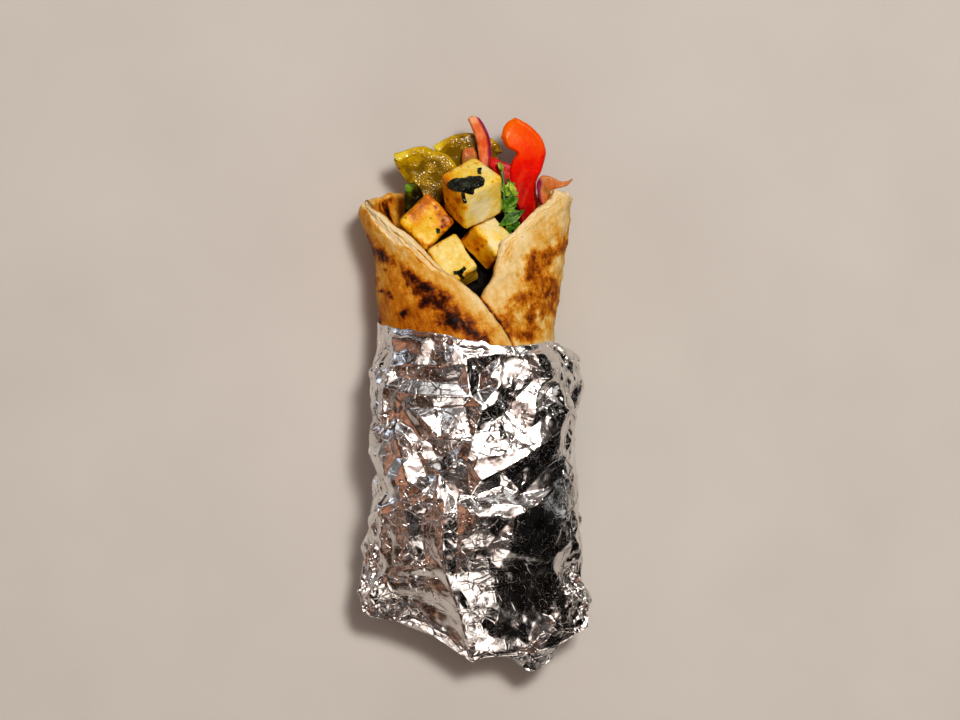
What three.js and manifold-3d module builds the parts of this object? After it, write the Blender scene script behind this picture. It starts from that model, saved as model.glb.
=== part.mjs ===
// Kati roll: a flatbread rolled round fried paneer and vegetables, its lower part wrapped in foil.
// It lies on its back, with the crossed front of the bread facing up.
// Sizes are millimetres. +Y runs along the roll to its open mouth, +Z is up, and the origin is
// the middle of the flat spot of foil that the roll rests on.

import * as THREE from "three";
import { mergeVertices } from "three/addons/utils/BufferGeometryUtils.js";
import { RoundedBoxGeometry } from "three/addons/geometries/RoundedBoxGeometry.js";
import Module from "manifold-3d";

const wasm = await Module();
wasm.setup();

// Driving dimensions

const CLEARANCE = 0.4; // between pieces that touch
const DEGREE = Math.PI / 180;

const BREAD_THICKNESS = 4.4;
const BREAD_LIFT = BREAD_THICKNESS + CLEARANCE; // the left flap lies this far above the right one
const BREAD_END = -22; // where the bread stops inside the foil
const BREAD_WAVE = 0.5; // unevenness of the bread's outer face
const BREAD_LIP = 8; // width of the bare lip along the left flap's edge, at the mouth
const BREAD_LIP_STEP = 0.9; // the top layer stands this far above the lip

// Angles round the roll in degrees: 0 is underneath, 90 the left side and 180 the front
const LEFT_TIP = 114; // where the left flap ends at the mouth
const RIGHT_TIP = -119; // where the right flap ends at the mouth
const FLAP_RISE = [80, 160]; // over which the left flap climbs above the right one
const WRAP_FALL = [235, 268]; // over which the wrap comes down again past the left flap's edge

const FOIL_WALL = 0.8; // least thickness of the wrap, a few creased layers
const FOIL_LOOSE = 0.7; // extra room between the bread and the wrap below the rim
const FOIL_CRUMPLE = 0.9; // how far the creases move the wrap in and out
const FOIL_FLOOR = 0; // height of the surface that the wrap rests on
const FOIL_HALF_WIDTH = 36; // its usual reach to each side

const PANEER_ROUNDING = 1.7;
const PANEER_UNEVEN = 0.8; // how far a cube's corners stray

// Values along the roll, each a list of [position, value] stations

const ROLL_HALF_WIDTH = profile([
  [-24, 28.4],
  [0, 30.3],
  [57, 31],
  [77, 33.2],
  [90, 36.4],
  [106, 38.6],
]);
const ROLL_CENTRE = profile([
  [-28, -1],
  [0, -2],
  [57, -2.7],
  [77, -2],
  [90, -3.1],
  [106, -3.7],
]);
const ROLL_HALF_HEIGHT = profile([
  [-24, 13.4],
  [-4, 18.6],
  [20, 20.3],
  [57, 20.5],
  [106, 21],
]);
const ROLL_UNDERSIDE = profile([
  [-24, 9],
  [-4, 3.4],
  [15, 1.4],
  [106, 1.4],
]);

// X of the two front edges of the bread, by Y
const LEFT_FLAP_EDGE = profile([
  [-28, 16],
  [30, 16],
  [50.4, 11.8],
  [56.8, 8.4],
  [66.7, 1.8],
  [78.5, -12.2],
  [88, -21],
  [94.9, -30.2],
  [101.8, -38.7],
]);
const RIGHT_FLAP_EDGE = profile([
  [-28, -14],
  [30, -14],
  [50, -9],
  [60, -3],
  [67, 1.8],
  [75, 6.6],
  [80, 7.9],
  [86.5, 9.3],
  [90.6, 14.5],
  [95.6, 19.3],
  [105, 29.8],
]);
// Y of the bread's rim, by the angle round the roll
const BREAD_RIM = profile([
  [RIGHT_TIP, 105.4],
  [-90, 103.8],
  [-40, 105.4],
  [0, 106],
  [40, 105.4],
  [90, 100],
  [LEFT_TIP, 101.8],
]);

// The wrap's outline: how far it reaches left and right, by Y
const FOIL_LEFT = profile([
  [-62, 39.4],
  [-46, 39.4],
  [-39, 40.5],
  [-25, 39.3],
  [-7.5, 35.7],
  [3, 34.7],
  [20, 36.2],
  [32, 35.8],
  [45, 34.5],
  [60, 34.8],
]);
const FOIL_RIGHT = profile([
  [-62, 39.8],
  [-46, 39.9],
  [-31, 38.2],
  [-17, 37.3],
  [3, 35.6],
  [20, 34.8],
  [30, 35.9],
  [37, 37.8],
  [46, 37.1],
  [52, 30.6],
  [60, 29.4],
]);
// The wrap's half height and the height of its middle, by the distance from its pinched end
const FOIL_HALF_HEIGHT = profile([
  [0, 1.2],
  [6, 4],
  [15, 10.5],
  [26, 19],
  [36, 23.8],
  [46, 25.7],
  [115, 25.7],
]);
const FOIL_MIDDLE = profile([
  [0, 25.5],
  [36, 24.1],
  [115, 24.1],
]);
// Y of the wrap's upper edge, by the angle round the roll
const FOIL_RIM = profile([
  [0, 57],
  [60, 58],
  [90, 58.8],
  [135, 56.4],
  [180, 52.4],
  [205, 50.2],
  [235, 52.2],
  [258, 50.6],
  [275, 48.4],
  [320, 54],
  [360, 57],
]);
// Y of the wrap's lower end, by X: the front layer, and the back layer with its torn tail
const FOIL_END_FRONT = profile([
  [-41, -42],
  [-37, -45.2],
  [-20, -47.8],
  [-10.5, -51.8],
  [-5.5, -55.4],
  [-1, -61.2],
  [4, -59.5],
  [17.5, -58.5],
  [30.5, -54.4],
  [41, -48.8],
]);
const FOIL_END_BACK = profile([
  [-41, -42],
  [-37, -45.2],
  [-20, -47.8],
  [-10.5, -51.8],
  [-1, -59.5],
  [11, -59.5],
  [19.5, -64.7],
  [26.5, -61],
  [30.5, -54.4],
  [41, -48.8],
]);
// Main folds on the wrap's front: [x, y] to [x, y], height, and width of the fold's two slopes
const FOIL_FOLDS = [
  { from: [-27, 42], to: [-1, 40], height: 1.8, width: 5 },
  { from: [-28, 37], to: [-8, 20], height: 1.7, width: 6 },
  { from: [4, 40], to: [-2, 12], height: 2.2, width: 8 },
  { from: [-2, 11], to: [30, 33], height: 2, width: 7 },
  { from: [-11, 18], to: [-9, -32], height: -1.8, width: 6 },
  { from: [15, -3], to: [4, -54], height: 2.2, width: 9 },
  { from: [-31, 4], to: [-25, -26], height: 1.8, width: 7 },
  { from: [0, 46], to: [1, 36], height: -2, width: 4 },
];

// Y of the filling's end at the mouth, and the height that it is packed to, by Y
const FILLING_START = -21.4;
const FILLING_END = 110;
const FILLING_DOME = 24; // length over which it rounds off at the mouth
const FILLING_HEIGHT = profile([
  [-28, 60],
  [40, 44],
  [60, 30],
  [75, 24],
  [90, 22],
  [110, 19],
]);
const FILLING_FALL = 22; // how much lower it lies against the bread than in the middle, at the mouth
const FILLING_SEAT = [5, 9]; // a cube's seat in it is level to the first distance and ends at the second
const FILLING_SEAT_DEPTH = 5; // below the cube's middle
const FILLING_LEAST = 0.6; // its least depth
const FILLING_LUMPS = 0.9;
const FILLING_GAP = 0.6; // between the filling and the bread's inner face

// Helpers

// A smooth function through [position, value] stations, level beyond both ends.
function profile(stations) {
  const slope = (i, j) =>
    (stations[j][1] - stations[i][1]) / (stations[j][0] - stations[i][0]);
  const last = stations.length - 1;
  const tangents = stations.map((_, i) => {
    if (i === 0 || i === last) return 0;
    const [before, after] = [slope(i - 1, i), slope(i, i + 1)];
    return before * after > 0 ? (2 * before * after) / (before + after) : 0;
  });
  return (at) => {
    if (at <= stations[0][0]) return stations[0][1];
    if (at >= stations[last][0]) return stations[last][1];
    const i = stations.findIndex((s) => s[0] > at) - 1;
    const width = stations[i + 1][0] - stations[i][0];
    const t = (at - stations[i][0]) / width;
    const rise = t * t * (3 - 2 * t);
    return (
      stations[i][1] * (1 - rise) +
      stations[i + 1][1] * rise +
      width * t * (1 - t) * ((1 - t) * tangents[i] - t * tangents[i + 1])
    );
  };
}

// A fixed number from -1 to 1 for each pair of whole numbers and seed.
function scatter(i, j, seed) {
  const wave = Math.sin(i * 127.1 + j * 311.7 + seed * 74.7) * 43758.5453;
  return 2 * (wave - Math.floor(wave)) - 1;
}

// Smooth unevenness from -1 to 1: the scatter at the corners of a unit grid, blended between them.
function lumps(x, y, seed) {
  const [i, j] = [Math.floor(x), Math.floor(y)];
  const across = THREE.MathUtils.smoothstep(x - i, 0, 1);
  const along = THREE.MathUtils.smoothstep(y - j, 0, 1);
  const low = THREE.MathUtils.lerp(scatter(i, j, seed), scatter(i + 1, j, seed), across);
  const high = THREE.MathUtils.lerp(
    scatter(i, j + 1, seed),
    scatter(i + 1, j + 1, seed),
    across,
  );
  return THREE.MathUtils.lerp(low, high, along);
}

// The share of full thickness at a distance from an edge that is rounded over a given width.
function rounded(distance, width) {
  const inward = 1 - THREE.MathUtils.clamp(distance / width, 0, 1);
  return Math.sqrt(1 - inward * inward);
}

// Numbers from 0 to 1 in even steps, with extra ones close to both ends for a rounded edge.
function steps(count, edge) {
  const even = Array.from({ length: count + 1 }, (_, i) => i / count);
  const inner = even.slice(1, -1);
  return [0, edge, ...inner, 1 - edge, 1];
}

// A geometry with its vertices merged by place and its collapsed triangles dropped.
function weld(geometry) {
  const bare = new THREE.BufferGeometry();
  bare.setAttribute("position", geometry.getAttribute("position"));
  bare.setIndex(geometry.index);
  const merged = mergeVertices(bare, 1e-3);
  const index = merged.index.array;
  const kept = [];
  for (let i = 0; i < index.length; i += 3) {
    const [a, b, c] = index.slice(i, i + 3);
    if (a !== b && b !== c && a !== c) kept.push(a, b, c);
  }
  return merged.setIndex(kept);
}

function toSolid(geometry) {
  const welded = weld(geometry);
  return new wasm.Manifold(
    new wasm.Mesh({
      numProp: 3,
      vertProperties: welded.attributes.position.array,
      triVerts: new Uint32Array(welded.index.array),
    }),
  );
}

function toGeometry(solid) {
  const { vertProperties, triVerts } = solid.getMesh();
  const geometry = new THREE.BufferGeometry();
  geometry.setAttribute("position", new THREE.BufferAttribute(vertProperties, 3));
  return geometry.setIndex(new THREE.BufferAttribute(triVerts, 1));
}

// A closed geometry swollen by a distance along its vertex normals.
function grow(geometry, distance) {
  const swollen = weld(geometry);
  swollen.computeVertexNormals();
  const { position, normal } = swollen.attributes;
  for (let i = 0; i < position.count; i++) {
    position.setXYZ(
      i,
      position.getX(i) + distance * normal.getX(i),
      position.getY(i) + distance * normal.getY(i),
      position.getZ(i) + distance * normal.getZ(i),
    );
  }
  return swollen;
}

// The largest single body of a solid.
function largest(solid) {
  return solid.decompose().sort((a, b) => b.volume() - a.volume())[0];
}

// A mesh's geometry where the mesh stands.
function placed(mesh) {
  mesh.updateMatrixWorld(true);
  return weld(mesh.geometry).applyMatrix4(mesh.matrixWorld);
}

// A thin solid round a middle surface. columns and rows are the values that the surface's two
// parameters take, half is half its thickness there, and relief is added to the front alone.
function slab({ columns, rows, middle, half, relief = () => 0 }) {
  const STEP = 1e-3;
  const front = [];
  const back = [];
  for (const v of rows) {
    for (const u of columns) {
      const point = middle(u, v);
      const along = middle(Math.min(u + STEP, 1), v).sub(middle(Math.max(u - STEP, 0), v));
      const up = middle(u, Math.min(v + STEP, 1)).sub(middle(u, Math.max(v - STEP, 0)));
      const normal = along.cross(up).normalize();
      const thickness = half(u, v);
      const raised = thickness > 0 ? relief(u, v) : 0;
      front.push(point.clone().addScaledVector(normal, thickness + raised));
      back.push(point.clone().addScaledVector(normal, -thickness));
    }
  }
  const index = [];
  const across = columns.length;
  const offset = front.length;
  for (let j = 0; j + 1 < rows.length; j++) {
    for (let i = 0; i + 1 < across; i++) {
      const [a, b] = [j * across + i, j * across + i + 1];
      const [c, d] = [a + across, b + across];
      const turned = (j === 0 && i + 2 === across) || (i === 0 && j + 2 === rows.length);
      const face = turned ? [a, b, c, b, d, c] : [a, b, d, a, d, c];
      index.push(...face, ...face.map((at) => offset + at).reverse());
    }
  }
  return weld(new THREE.BufferGeometry().setFromPoints([...front, ...back]).setIndex(index));
}

// A closed skin over rings of points, with a flat fan across the first ring and the last.
function loft(rings) {
  const around = rings[0].length;
  const centreOf = (ring) =>
    ring.reduce((sum, point) => sum.add(point), new THREE.Vector3()).divideScalar(around);
  const points = [...rings.flat(), centreOf(rings[0]), centreOf(rings[rings.length - 1])];
  const [first, last] = [points.length - 2, points.length - 1];
  const index = [];
  for (let i = 0; i < around; i++) {
    const next = (i + 1) % around;
    index.push(next, i, first);
    for (let j = 0; j + 1 < rings.length; j++) {
      const [a, b] = [j * around + i, j * around + next];
      index.push(a, b, a + around, b, b + around, a + around);
    }
    const top = (rings.length - 1) * around;
    index.push(top + i, top + next, last);
  }
  return weld(new THREE.BufferGeometry().setFromPoints(points).setIndex(index));
}

// A slice or strip between two edges given by [x, y] points. height gives its middle's Z.
function ribbon({ left, right, height, thickness, along = 9, across = 4 }) {
  const edge = (points) => new THREE.SplineCurve(points.map((p) => new THREE.Vector2(...p)));
  const [leftCurve, rightCurve] = [edge(left), edge(right)];
  const middle = (u, v) => {
    const [a, b] = [leftCurve.getPoint(v), rightCurve.getPoint(v)];
    const point = a.lerp(b, u);
    return new THREE.Vector3(point.x, point.y, height(u, v));
  };
  const half = (u, v) => {
    const near = Math.min(rounded(Math.min(u, 1 - u), 0.3), rounded(Math.min(v, 1 - v), 0.08));
    return (thickness / 2) * near;
  };
  return slab({ columns: steps(across, 0.1), rows: steps(along, 0.03), middle, half });
}

// The roll's section

// A point at an angle round the roll, at a distance outside the face of a single bread layer.
function rollPoint(y, turn, offset) {
  const [a, b] = [ROLL_HALF_WIDTH(y), ROLL_HALF_HEIGHT(y)];
  const [sine, cosine] = [Math.sin(turn), Math.cos(turn)];
  const outward = new THREE.Vector2(-sine / a, -cosine / b).normalize();
  return new THREE.Vector3(
    ROLL_CENTRE(y) - a * sine + offset * outward.x,
    y,
    ROLL_UNDERSIDE(y) + b - b * cosine + offset * outward.y,
  );
}

// How far the left flap has risen over the right one, by the angle round the roll.
function flapLift(turn) {
  return BREAD_LIFT * THREE.MathUtils.smoothstep(turn / DEGREE, ...FLAP_RISE);
}

// Bread

// The angle at which each flap ends, at a height along the roll.
function flapEnd(side, y) {
  const edge = side > 0 ? LEFT_FLAP_EDGE(y) : RIGHT_FLAP_EDGE(y);
  const across = (edge - ROLL_CENTRE(y)) / ROLL_HALF_WIDTH(y);
  return Math.PI + side * Math.asin(THREE.MathUtils.clamp(across, -1, 1));
}

// Where a spot of the bread lies: u runs from the right flap's edge to the left flap's, and v
// from the hidden end to the rim.
function breadSpot(u, v) {
  const side = 2 * u - 1;
  const rimAt = (way) => {
    const rimY = BREAD_RIM((way > 0 ? LEFT_TIP : RIGHT_TIP) * Math.abs(way));
    return THREE.MathUtils.lerp(BREAD_END, rimY, v);
  };
  const turn = side * flapEnd(Math.sign(side) || 1, rimAt(Math.sign(side) || 1));
  return { turn, y: rimAt(side) };
}

function breadMiddle(u, v) {
  const { turn, y } = breadSpot(u, v);
  return rollPoint(y, turn, flapLift(turn) - BREAD_THICKNESS / 2);
}

// Distance in mm from a spot of the bread to its nearer flap edge and to the rim.
function breadEdges(u, v) {
  const { turn, y } = breadSpot(u, v);
  const side = u > 0.5 ? 1 : -1;
  const end = breadSpot(u > 0.5 ? 1 : 0, v);
  const reach = ROLL_HALF_WIDTH(y) * Math.abs(end.turn - turn);
  const rim = breadSpot(u, 1).y - y;
  return { side, reach, rim, y };
}

function bread() {
  const hidden = [0, 0.015, 0.07, 0.13, 0.2, 0.34, 0.5];
  const shown = Array.from({ length: 10 }, (_, i) => 0.6 + (i * 0.37) / 9);
  const half = (u, v) => {
    const { reach, rim, y } = breadEdges(u, v);
    const near = Math.min(reach, rim, y - BREAD_END);
    return (BREAD_THICKNESS / 2) * rounded(near, BREAD_THICKNESS / 2);
  };
  const relief = (u, v) => {
    const { side, reach, y } = breadEdges(u, v);
    const wave = BREAD_WAVE * lumps(u * 22, y / 7, 3) * THREE.MathUtils.smoothstep(y, 58, 66);
    const lipWidth = BREAD_LIP * THREE.MathUtils.smoothstep(y, 72, 100);
    const onLip = side > 0 && reach < lipWidth;
    return wave - (onLip ? BREAD_LIP_STEP : 0);
  };
  return slab({
    columns: steps(30, 0.01),
    rows: [...hidden, ...shown, 0.99, 1],
    middle: breadMiddle,
    half,
    relief,
  });
}

// Foil wrap

// How far the bread's overlapped front stands out, by the angle round the roll.
function wrapLift(turn) {
  return flapLift(turn) * (1 - THREE.MathUtils.smoothstep(turn / DEGREE, ...WRAP_FALL));
}

// The wrap's inner face: it hugs the bread at the rim and stands a little looser further down.
function foilInner(y, turn) {
  const loose = 1 - THREE.MathUtils.smoothstep(y, 25, 50);
  return rollPoint(y, turn, wrapLift(turn) + CLEARANCE + FOIL_LOOSE * loose);
}

// The height that the main folds add at a spot on the wrap's front.
function foldHeight(x, y) {
  let height = 0;
  for (const fold of FOIL_FOLDS) {
    const from = new THREE.Vector3(...fold.from, 0);
    const to = new THREE.Vector3(...fold.to, 0);
    const spot = new THREE.Vector3(x, y, 0);
    const nearest = new THREE.Line3(from, to).closestPointToPoint(spot, true, new THREE.Vector3());
    height += fold.height * Math.max(0, 1 - nearest.distanceTo(spot) / fold.width);
  }
  return height;
}

// A point on the wrap's outer face. share runs from its lower end to its rim.
function foilOuter(turn, share, column, row) {
  const [sine, cosine] = [Math.sin(turn), Math.cos(turn)];
  const front = THREE.MathUtils.smoothstep(-cosine, -0.2, 0.2);
  const rim = FOIL_RIM(turn / DEGREE);
  let x = -FOIL_HALF_WIDTH * sine;
  let y = 0;
  let end = 0;
  for (let pass = 0; pass < 2; pass++) {
    end = THREE.MathUtils.lerp(FOIL_END_BACK(x), FOIL_END_FRONT(x), front);
    y = THREE.MathUtils.lerp(end, rim, share);
    x = -sine * (sine > 0 ? FOIL_LEFT(y) : FOIL_RIGHT(y));
  }
  const halfHeight = FOIL_HALF_HEIGHT(y - end);
  const centre = new THREE.Vector3(x, y, FOIL_MIDDLE(y - end) - halfHeight * cosine);
  const outward = new THREE.Vector3(-sine * halfHeight, 0, -cosine * FOIL_HALF_WIDTH).normalize();
  const loose = THREE.MathUtils.smoothstep(halfHeight, 1, 8);
  const creases = FOIL_CRUMPLE * scatter(column, row, 5) * (0.3 + 0.7 * front);
  const point = keepOff(centre, turn, FOIL_WALL + FOIL_CRUMPLE);
  point.addScaledVector(outward, loose * (creases + front * foldHeight(x, y)));
  keepOff(point, turn, FOIL_WALL);
  point.z = Math.max(point.z, FOIL_FLOOR);
  return point;
}

// Moves a point of the wrap out from the bread, where it has to.
function keepOff(point, turn, least) {
  if (point.y > BREAD_END - FOIL_WALL) {
    const inner = foilInner(point.y, turn);
    const outward = inner.clone().sub(rollPoint(point.y, turn, 0)).normalize();
    const wall = point.clone().sub(inner).dot(outward);
    if (wall < least) point.addScaledVector(outward, least - wall);
  }
  return point;
}

function foil() {
  const AROUND = 48;
  const OUTER_ROWS = 24;
  const INNER_SHARES = [1, 0.7, 0.4, 0.24, 0.16, 0.08, 0];
  const ring = (at) => Array.from({ length: AROUND }, (_, i) => at((2 * Math.PI * i) / AROUND, i));
  const sections = [];
  for (let j = 0; j <= OUTER_ROWS; j++) {
    sections.push(ring((turn, i) => foilOuter(turn, j / OUTER_ROWS, i, j)));
  }
  const floor = BREAD_END - CLEARANCE;
  for (const share of INNER_SHARES) {
    sections.push(
      ring((turn) => {
        const rim = FOIL_RIM(turn / DEGREE);
        const y = THREE.MathUtils.lerp(floor, rim, share);
        return foilInner(y, turn);
      }),
    );
  }
  return loft(sections);
}

// Filling

// The height that the filling is packed to: a mound that rises to a seat under each cube.
function fillingTop(x, y) {
  const across = (x - ROLL_CENTRE(y)) / ROLL_HALF_WIDTH(y);
  const fall = FILLING_FALL * THREE.MathUtils.smoothstep(y, 60, 85);
  let top = FILLING_HEIGHT(y) - fall * across * across;
  for (const { centre } of Object.values(PANEER)) {
    const away = Math.hypot(x - centre[0], y - centre[1]);
    const seat = Math.max(0, centre[2] - FILLING_SEAT_DEPTH - top);
    top += seat * (1 - THREE.MathUtils.smoothstep(away, ...FILLING_SEAT));
  }
  return top;
}

// The packed filling inside the bread, before the pieces that lie in it are pressed in.
function fillingCore() {
  const AROUND = 28;
  const ROWS = 18;
  const sections = [];
  for (let j = 0; j <= ROWS; j++) {
    const y = THREE.MathUtils.lerp(FILLING_START, FILLING_END - 0.3, j / ROWS);
    const inDome = Math.max(0, (y - FILLING_END + FILLING_DOME) / FILLING_DOME);
    const swell = Math.sqrt(1 - inDome * inDome);
    const height = FILLING_HEIGHT(y);
    const section = [];
    for (let i = 0; i < AROUND; i++) {
      const turn = (2 * Math.PI * i) / AROUND;
      const lump = FILLING_LUMPS * (scatter(i, j, 9) - 1) * 0.5;
      const point = rollPoint(y, turn, -BREAD_THICKNESS - FILLING_GAP + lump);
      const middle = new THREE.Vector3(ROLL_CENTRE(y), y, 0.6 * height);
      const centreZ = ROLL_UNDERSIDE(y) + ROLL_HALF_HEIGHT(y);
      const least = centreZ - Math.abs(point.z - centreZ) + FILLING_LEAST;
      if (point.z > least) point.z = Math.max(least, Math.min(point.z, fillingTop(point.x, y) + lump));
      section.push(middle.lerp(point, swell));
    }
    sections.push(section);
  }
  return loft(sections);
}

// A paneer cube: its middle, its size, and the directions that two of its faces look in.
function paneer({ centre, size, first, second, seed }) {
  const geometry = weld(new RoundedBoxGeometry(...size, 2, PANEER_ROUNDING));
  const { position } = geometry.attributes;
  for (let i = 0; i < position.count; i++) {
    const point = new THREE.Vector3().fromBufferAttribute(position, i);
    const shift = new THREE.Vector3();
    for (let corner = 0; corner < 8; corner++) {
      const signs = [corner & 1, corner & 2, corner & 4].map((bit) => (bit ? 1 : -1));
      const weight = signs.reduce(
        (product, sign, k) => product * (0.5 + (sign * point.getComponent(k)) / size[k]),
        1,
      );
      const stray = [0, 1, 2].map((k) => weight * PANEER_UNEVEN * scatter(corner, k, seed));
      shift.add(new THREE.Vector3(...stray));
    }
    position.setXYZ(i, ...point.add(shift));
  }
  const mesh = new THREE.Mesh(geometry);
  mesh.quaternion.setFromRotationMatrix(axesFrom(first, second));
  mesh.position.set(...centre);
  return mesh;
}

// Three square axes: the first along one direction, the second as near another as it can be.
function axesFrom(first, second) {
  const right = new THREE.Vector3(...first).normalize();
  const up = new THREE.Vector3(...second);
  up.addScaledVector(right, -up.dot(right)).normalize();
  return new THREE.Matrix4().makeBasis(right, up, right.clone().cross(up));
}

// A fried herb leaf stuck on a cube and fused to it. Its middle, the face that it lies on and
// the way it runs are in the cube's own axes.
function addHerb(mesh, { spot, facing, along, size }) {
  const herb = new THREE.SphereGeometry(1, 12, 8).scale(...size);
  herb.applyMatrix4(axesFrom(facing, along)).translate(...spot);
  mesh.geometry = toGeometry(toSolid(mesh.geometry).add(toSolid(herb)));
}

const PANEER = {
  paneer_top: {
    centre: [-1, 104, 38],
    size: [14.4, 16.7, 15.6],
    first: [0.607, -0.49, 0.624],
    second: [-0.046, 0.763, 0.645],
    seed: 1,
  },
  paneer_left: {
    centre: [-17.3, 94, 31.5],
    size: [14, 14, 13],
    first: [0.72, 0.69, -0.05],
    second: [-0.69, 0.72, 0.08],
    seed: 2,
  },
  paneer_low: {
    centre: [-7.9, 79.8, 30],
    size: [12, 15.4, 13],
    first: [0.86, 0.51, -0.02],
    second: [-0.5, 0.84, -0.2],
    seed: 3,
  },
  paneer_right: {
    centre: [4.7, 87.3, 28.8],
    size: [12, 11, 14],
    first: [0.45, 0.5, 0.74],
    second: [-0.55, -0.45, 0.7],
    seed: 4,
  },
};

// Dark leaves on the cubes: thickness, length and width
const HERBS = [
  {
    on: "paneer_top",
    spot: [4.6, 8, 5.2],
    facing: [0.15, 1, 0.15],
    along: [1, 0, -1],
    size: [1.2, 5.8, 3.3],
  },
  {
    on: "paneer_low",
    spot: [-0.3, -4.2, 6.2],
    facing: [0, 0, 1],
    along: [1, 0.3, 0],
    size: [1.1, 3.1, 2.1],
  },
];

// Flat pieces: their two edges by [x, y] from the mouth inwards, and their middle's height
const SLICES = {
  green_pepper_left: {
    left: [
      [-28.6, 116.3],
      [-27.6, 113.5],
      [-26.2, 111.4],
      [-23.8, 108.2],
      [-21.7, 104.7],
      [-18.1, 101.2],
      [-13.2, 99.6],
    ],
    right: [
      [-28.3, 117],
      [-24.8, 119],
      [-20.8, 120.7],
      [-17.5, 121],
      [-14.3, 119.7],
      [-9.6, 118],
      [-6.1, 113.8],
    ],
    height: (u, v) => 24 - 5 * v + 2 * u * u,
    thickness: 3.6,
  },
  green_pepper_back: {
    left: [
      [-14.4, 119.9],
      [-13.3, 115.2],
      [-10.2, 112.2],
      [-4.1, 109.6],
      [1, 110.1],
      [5.1, 113.2],
      [7.3, 117.6],
    ],
    right: [
      [-14.2, 120.5],
      [-10.7, 123.9],
      [-6.8, 125.8],
      [-1.9, 126.4],
      [3, 125.6],
      [7.8, 122.9],
      [8.3, 119.7],
    ],
    height: (u, v) => 12.5 + 3 * u + 1.5 * (2 * v - 1) ** 2,
    thickness: 3.4,
  },
  green_chilli: {
    left: [
      [-23.8, 107.7],
      [-24.9, 103.6],
      [-25.1, 99.6],
      [-24.3, 95.5],
    ],
    right: [
      [-22.3, 108.1],
      [-19, 105.3],
      [-18.2, 100.6],
      [-18.2, 95.5],
    ],
    height: (u, v) => 27 - 5.5 * v - (2 * u - 1) ** 2,
    thickness: 3,
  },
  onion_upright: {
    left: [
      [-2.5, 130.9],
      [-1.2, 127.7],
      [-0, 124.8],
      [0.7, 122.3],
      [1.3, 118.2],
      [2, 111.9],
      [3, 104.8],
    ],
    right: [
      [1.5, 131.3],
      [3.2, 128.7],
      [4.8, 125.4],
      [5.5, 122.6],
      [5.8, 119.4],
      [6.6, 112.9],
      [7.1, 105.8],
    ],
    height: (u, v) => 23 - 2.5 * v - 1.6 * u,
    thickness: 2.6,
  },
  onion_back: {
    left: [
      [-4.1, 120.7],
      [-4.7, 117.6],
      [-4.5, 114],
      [-4.1, 110],
    ],
    right: [
      [-0.5, 121.1],
      [0.8, 118.1],
      [1, 114],
      [0.6, 110],
    ],
    height: (u, v) => 18.8 - 0.8 * v,
    thickness: 1.8,
  },
  onion_right: {
    left: [
      [34.3, 109.4],
      [30.9, 108.4],
      [26.2, 110.3],
      [23.3, 110.3],
      [21.8, 107.6],
      [22.2, 103.4],
      [23.3, 99.8],
      [24, 97],
    ],
    right: [
      [34.1, 108.8],
      [32.4, 106.9],
      [28.7, 105.9],
      [27, 105.3],
      [26.1, 103.7],
      [25.7, 101.9],
      [25.6, 99.8],
      [26.4, 97],
    ],
    height: (u, v) => 31 - 3 * v,
    thickness: 2.4,
  },
  red_pepper: {
    left: [
      [9.6, 124.6],
      [11.1, 120.9],
      [13, 119.7],
      [14.7, 118.5],
      [13.1, 115.6],
      [12.3, 112.3],
      [13.6, 107.9],
      [15.2, 102.6],
      [16.2, 96.6],
      [15.7, 88.5],
    ],
    right: [
      [14.2, 131.1],
      [18.7, 128.9],
      [23.2, 124.5],
      [25, 119.7],
      [24.7, 116.8],
      [23.5, 112.5],
      [21.7, 108.2],
      [21.9, 100.5],
      [20.7, 95.6],
      [19.7, 88.5],
    ],
    height: (u, v) => 26 - 5 * v + 1.4 * (2 * u - 1) ** 2,
    thickness: 3.6,
    along: 20,
  },
};

// The red pepper's short second arm, behind the coriander
const PEPPER_ARM = {
  left: [
    [4.6, 115.2],
    [8.7, 112.2],
    [12.5, 109.8],
    [16.2, 107.2],
  ],
  right: [
    [5.6, 118.1],
    [8.1, 116.5],
    [12.3, 115],
    [17.2, 113.8],
  ],
  height: (u, v) => 24.2 - 1.6 * v,
  thickness: 3,
  along: 6,
};

// Coriander: each leaflet's stalk end, the direction it grows in, its length and its middle's Z
const LEAFLETS = [
  { base: [10.1, 105.1], angle: -68, length: 11, height: 29.2 },
  { base: [12.5, 96.8], angle: -20, length: 6.5, height: 29.6 },
  { base: [12.7, 97.6], angle: -82, length: 8.5, height: 30.2 },
];
const LEAF_THICKNESS = 0.8;
const STALK = {
  left: [
    [8.3, 115.4],
    [9.1, 108.5],
    [9.7, 103.5],
    [10.7, 96.4],
  ],
  right: [
    [9.7, 115.6],
    [10.5, 108.5],
    [11.1, 103.5],
    [12.1, 96.4],
  ],
  height: () => 28.6,
  thickness: 1.4,
  along: 6,
  across: 2,
};

// A lobed leaflet, fanned out from its stalk.
function leaflet({ base, angle, length, height }) {
  const SPREAD = 62 * DEGREE;
  const middle = (u, v) => {
    const way = (2 * u - 1) * SPREAD;
    const lobes = 0.72 + 0.28 * Math.abs(Math.cos(2.9 * way));
    const reach = length * v * lobes * Math.cos(way * 0.55);
    const turn = angle * DEGREE + way;
    const ripple = 0.5 * Math.sin(5 * way) * v;
    return new THREE.Vector3(
      base[0] + reach * Math.cos(turn),
      base[1] + reach * Math.sin(turn),
      height + ripple,
    );
  };
  const half = (u, v) =>
    (LEAF_THICKNESS / 2) * (v === 0 || v === 1 || u === 0 || u === 1 ? 0 : 1);
  return slab({ columns: steps(10, 0.02), rows: [0, 0.3, 0.9, 1], middle, half });
}

// The sprig, bent round the pieces that it lies against.
function coriander(neighbours) {
  let sprig = toSolid(ribbon(STALK));
  for (const leaf of LEAFLETS) sprig = sprig.add(toSolid(leaflet(leaf)));
  for (const mesh of neighbours) sprig = sprig.subtract(toSolid(grow(placed(mesh), CLEARANCE)));
  return toGeometry(largest(sprig));
}

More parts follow.
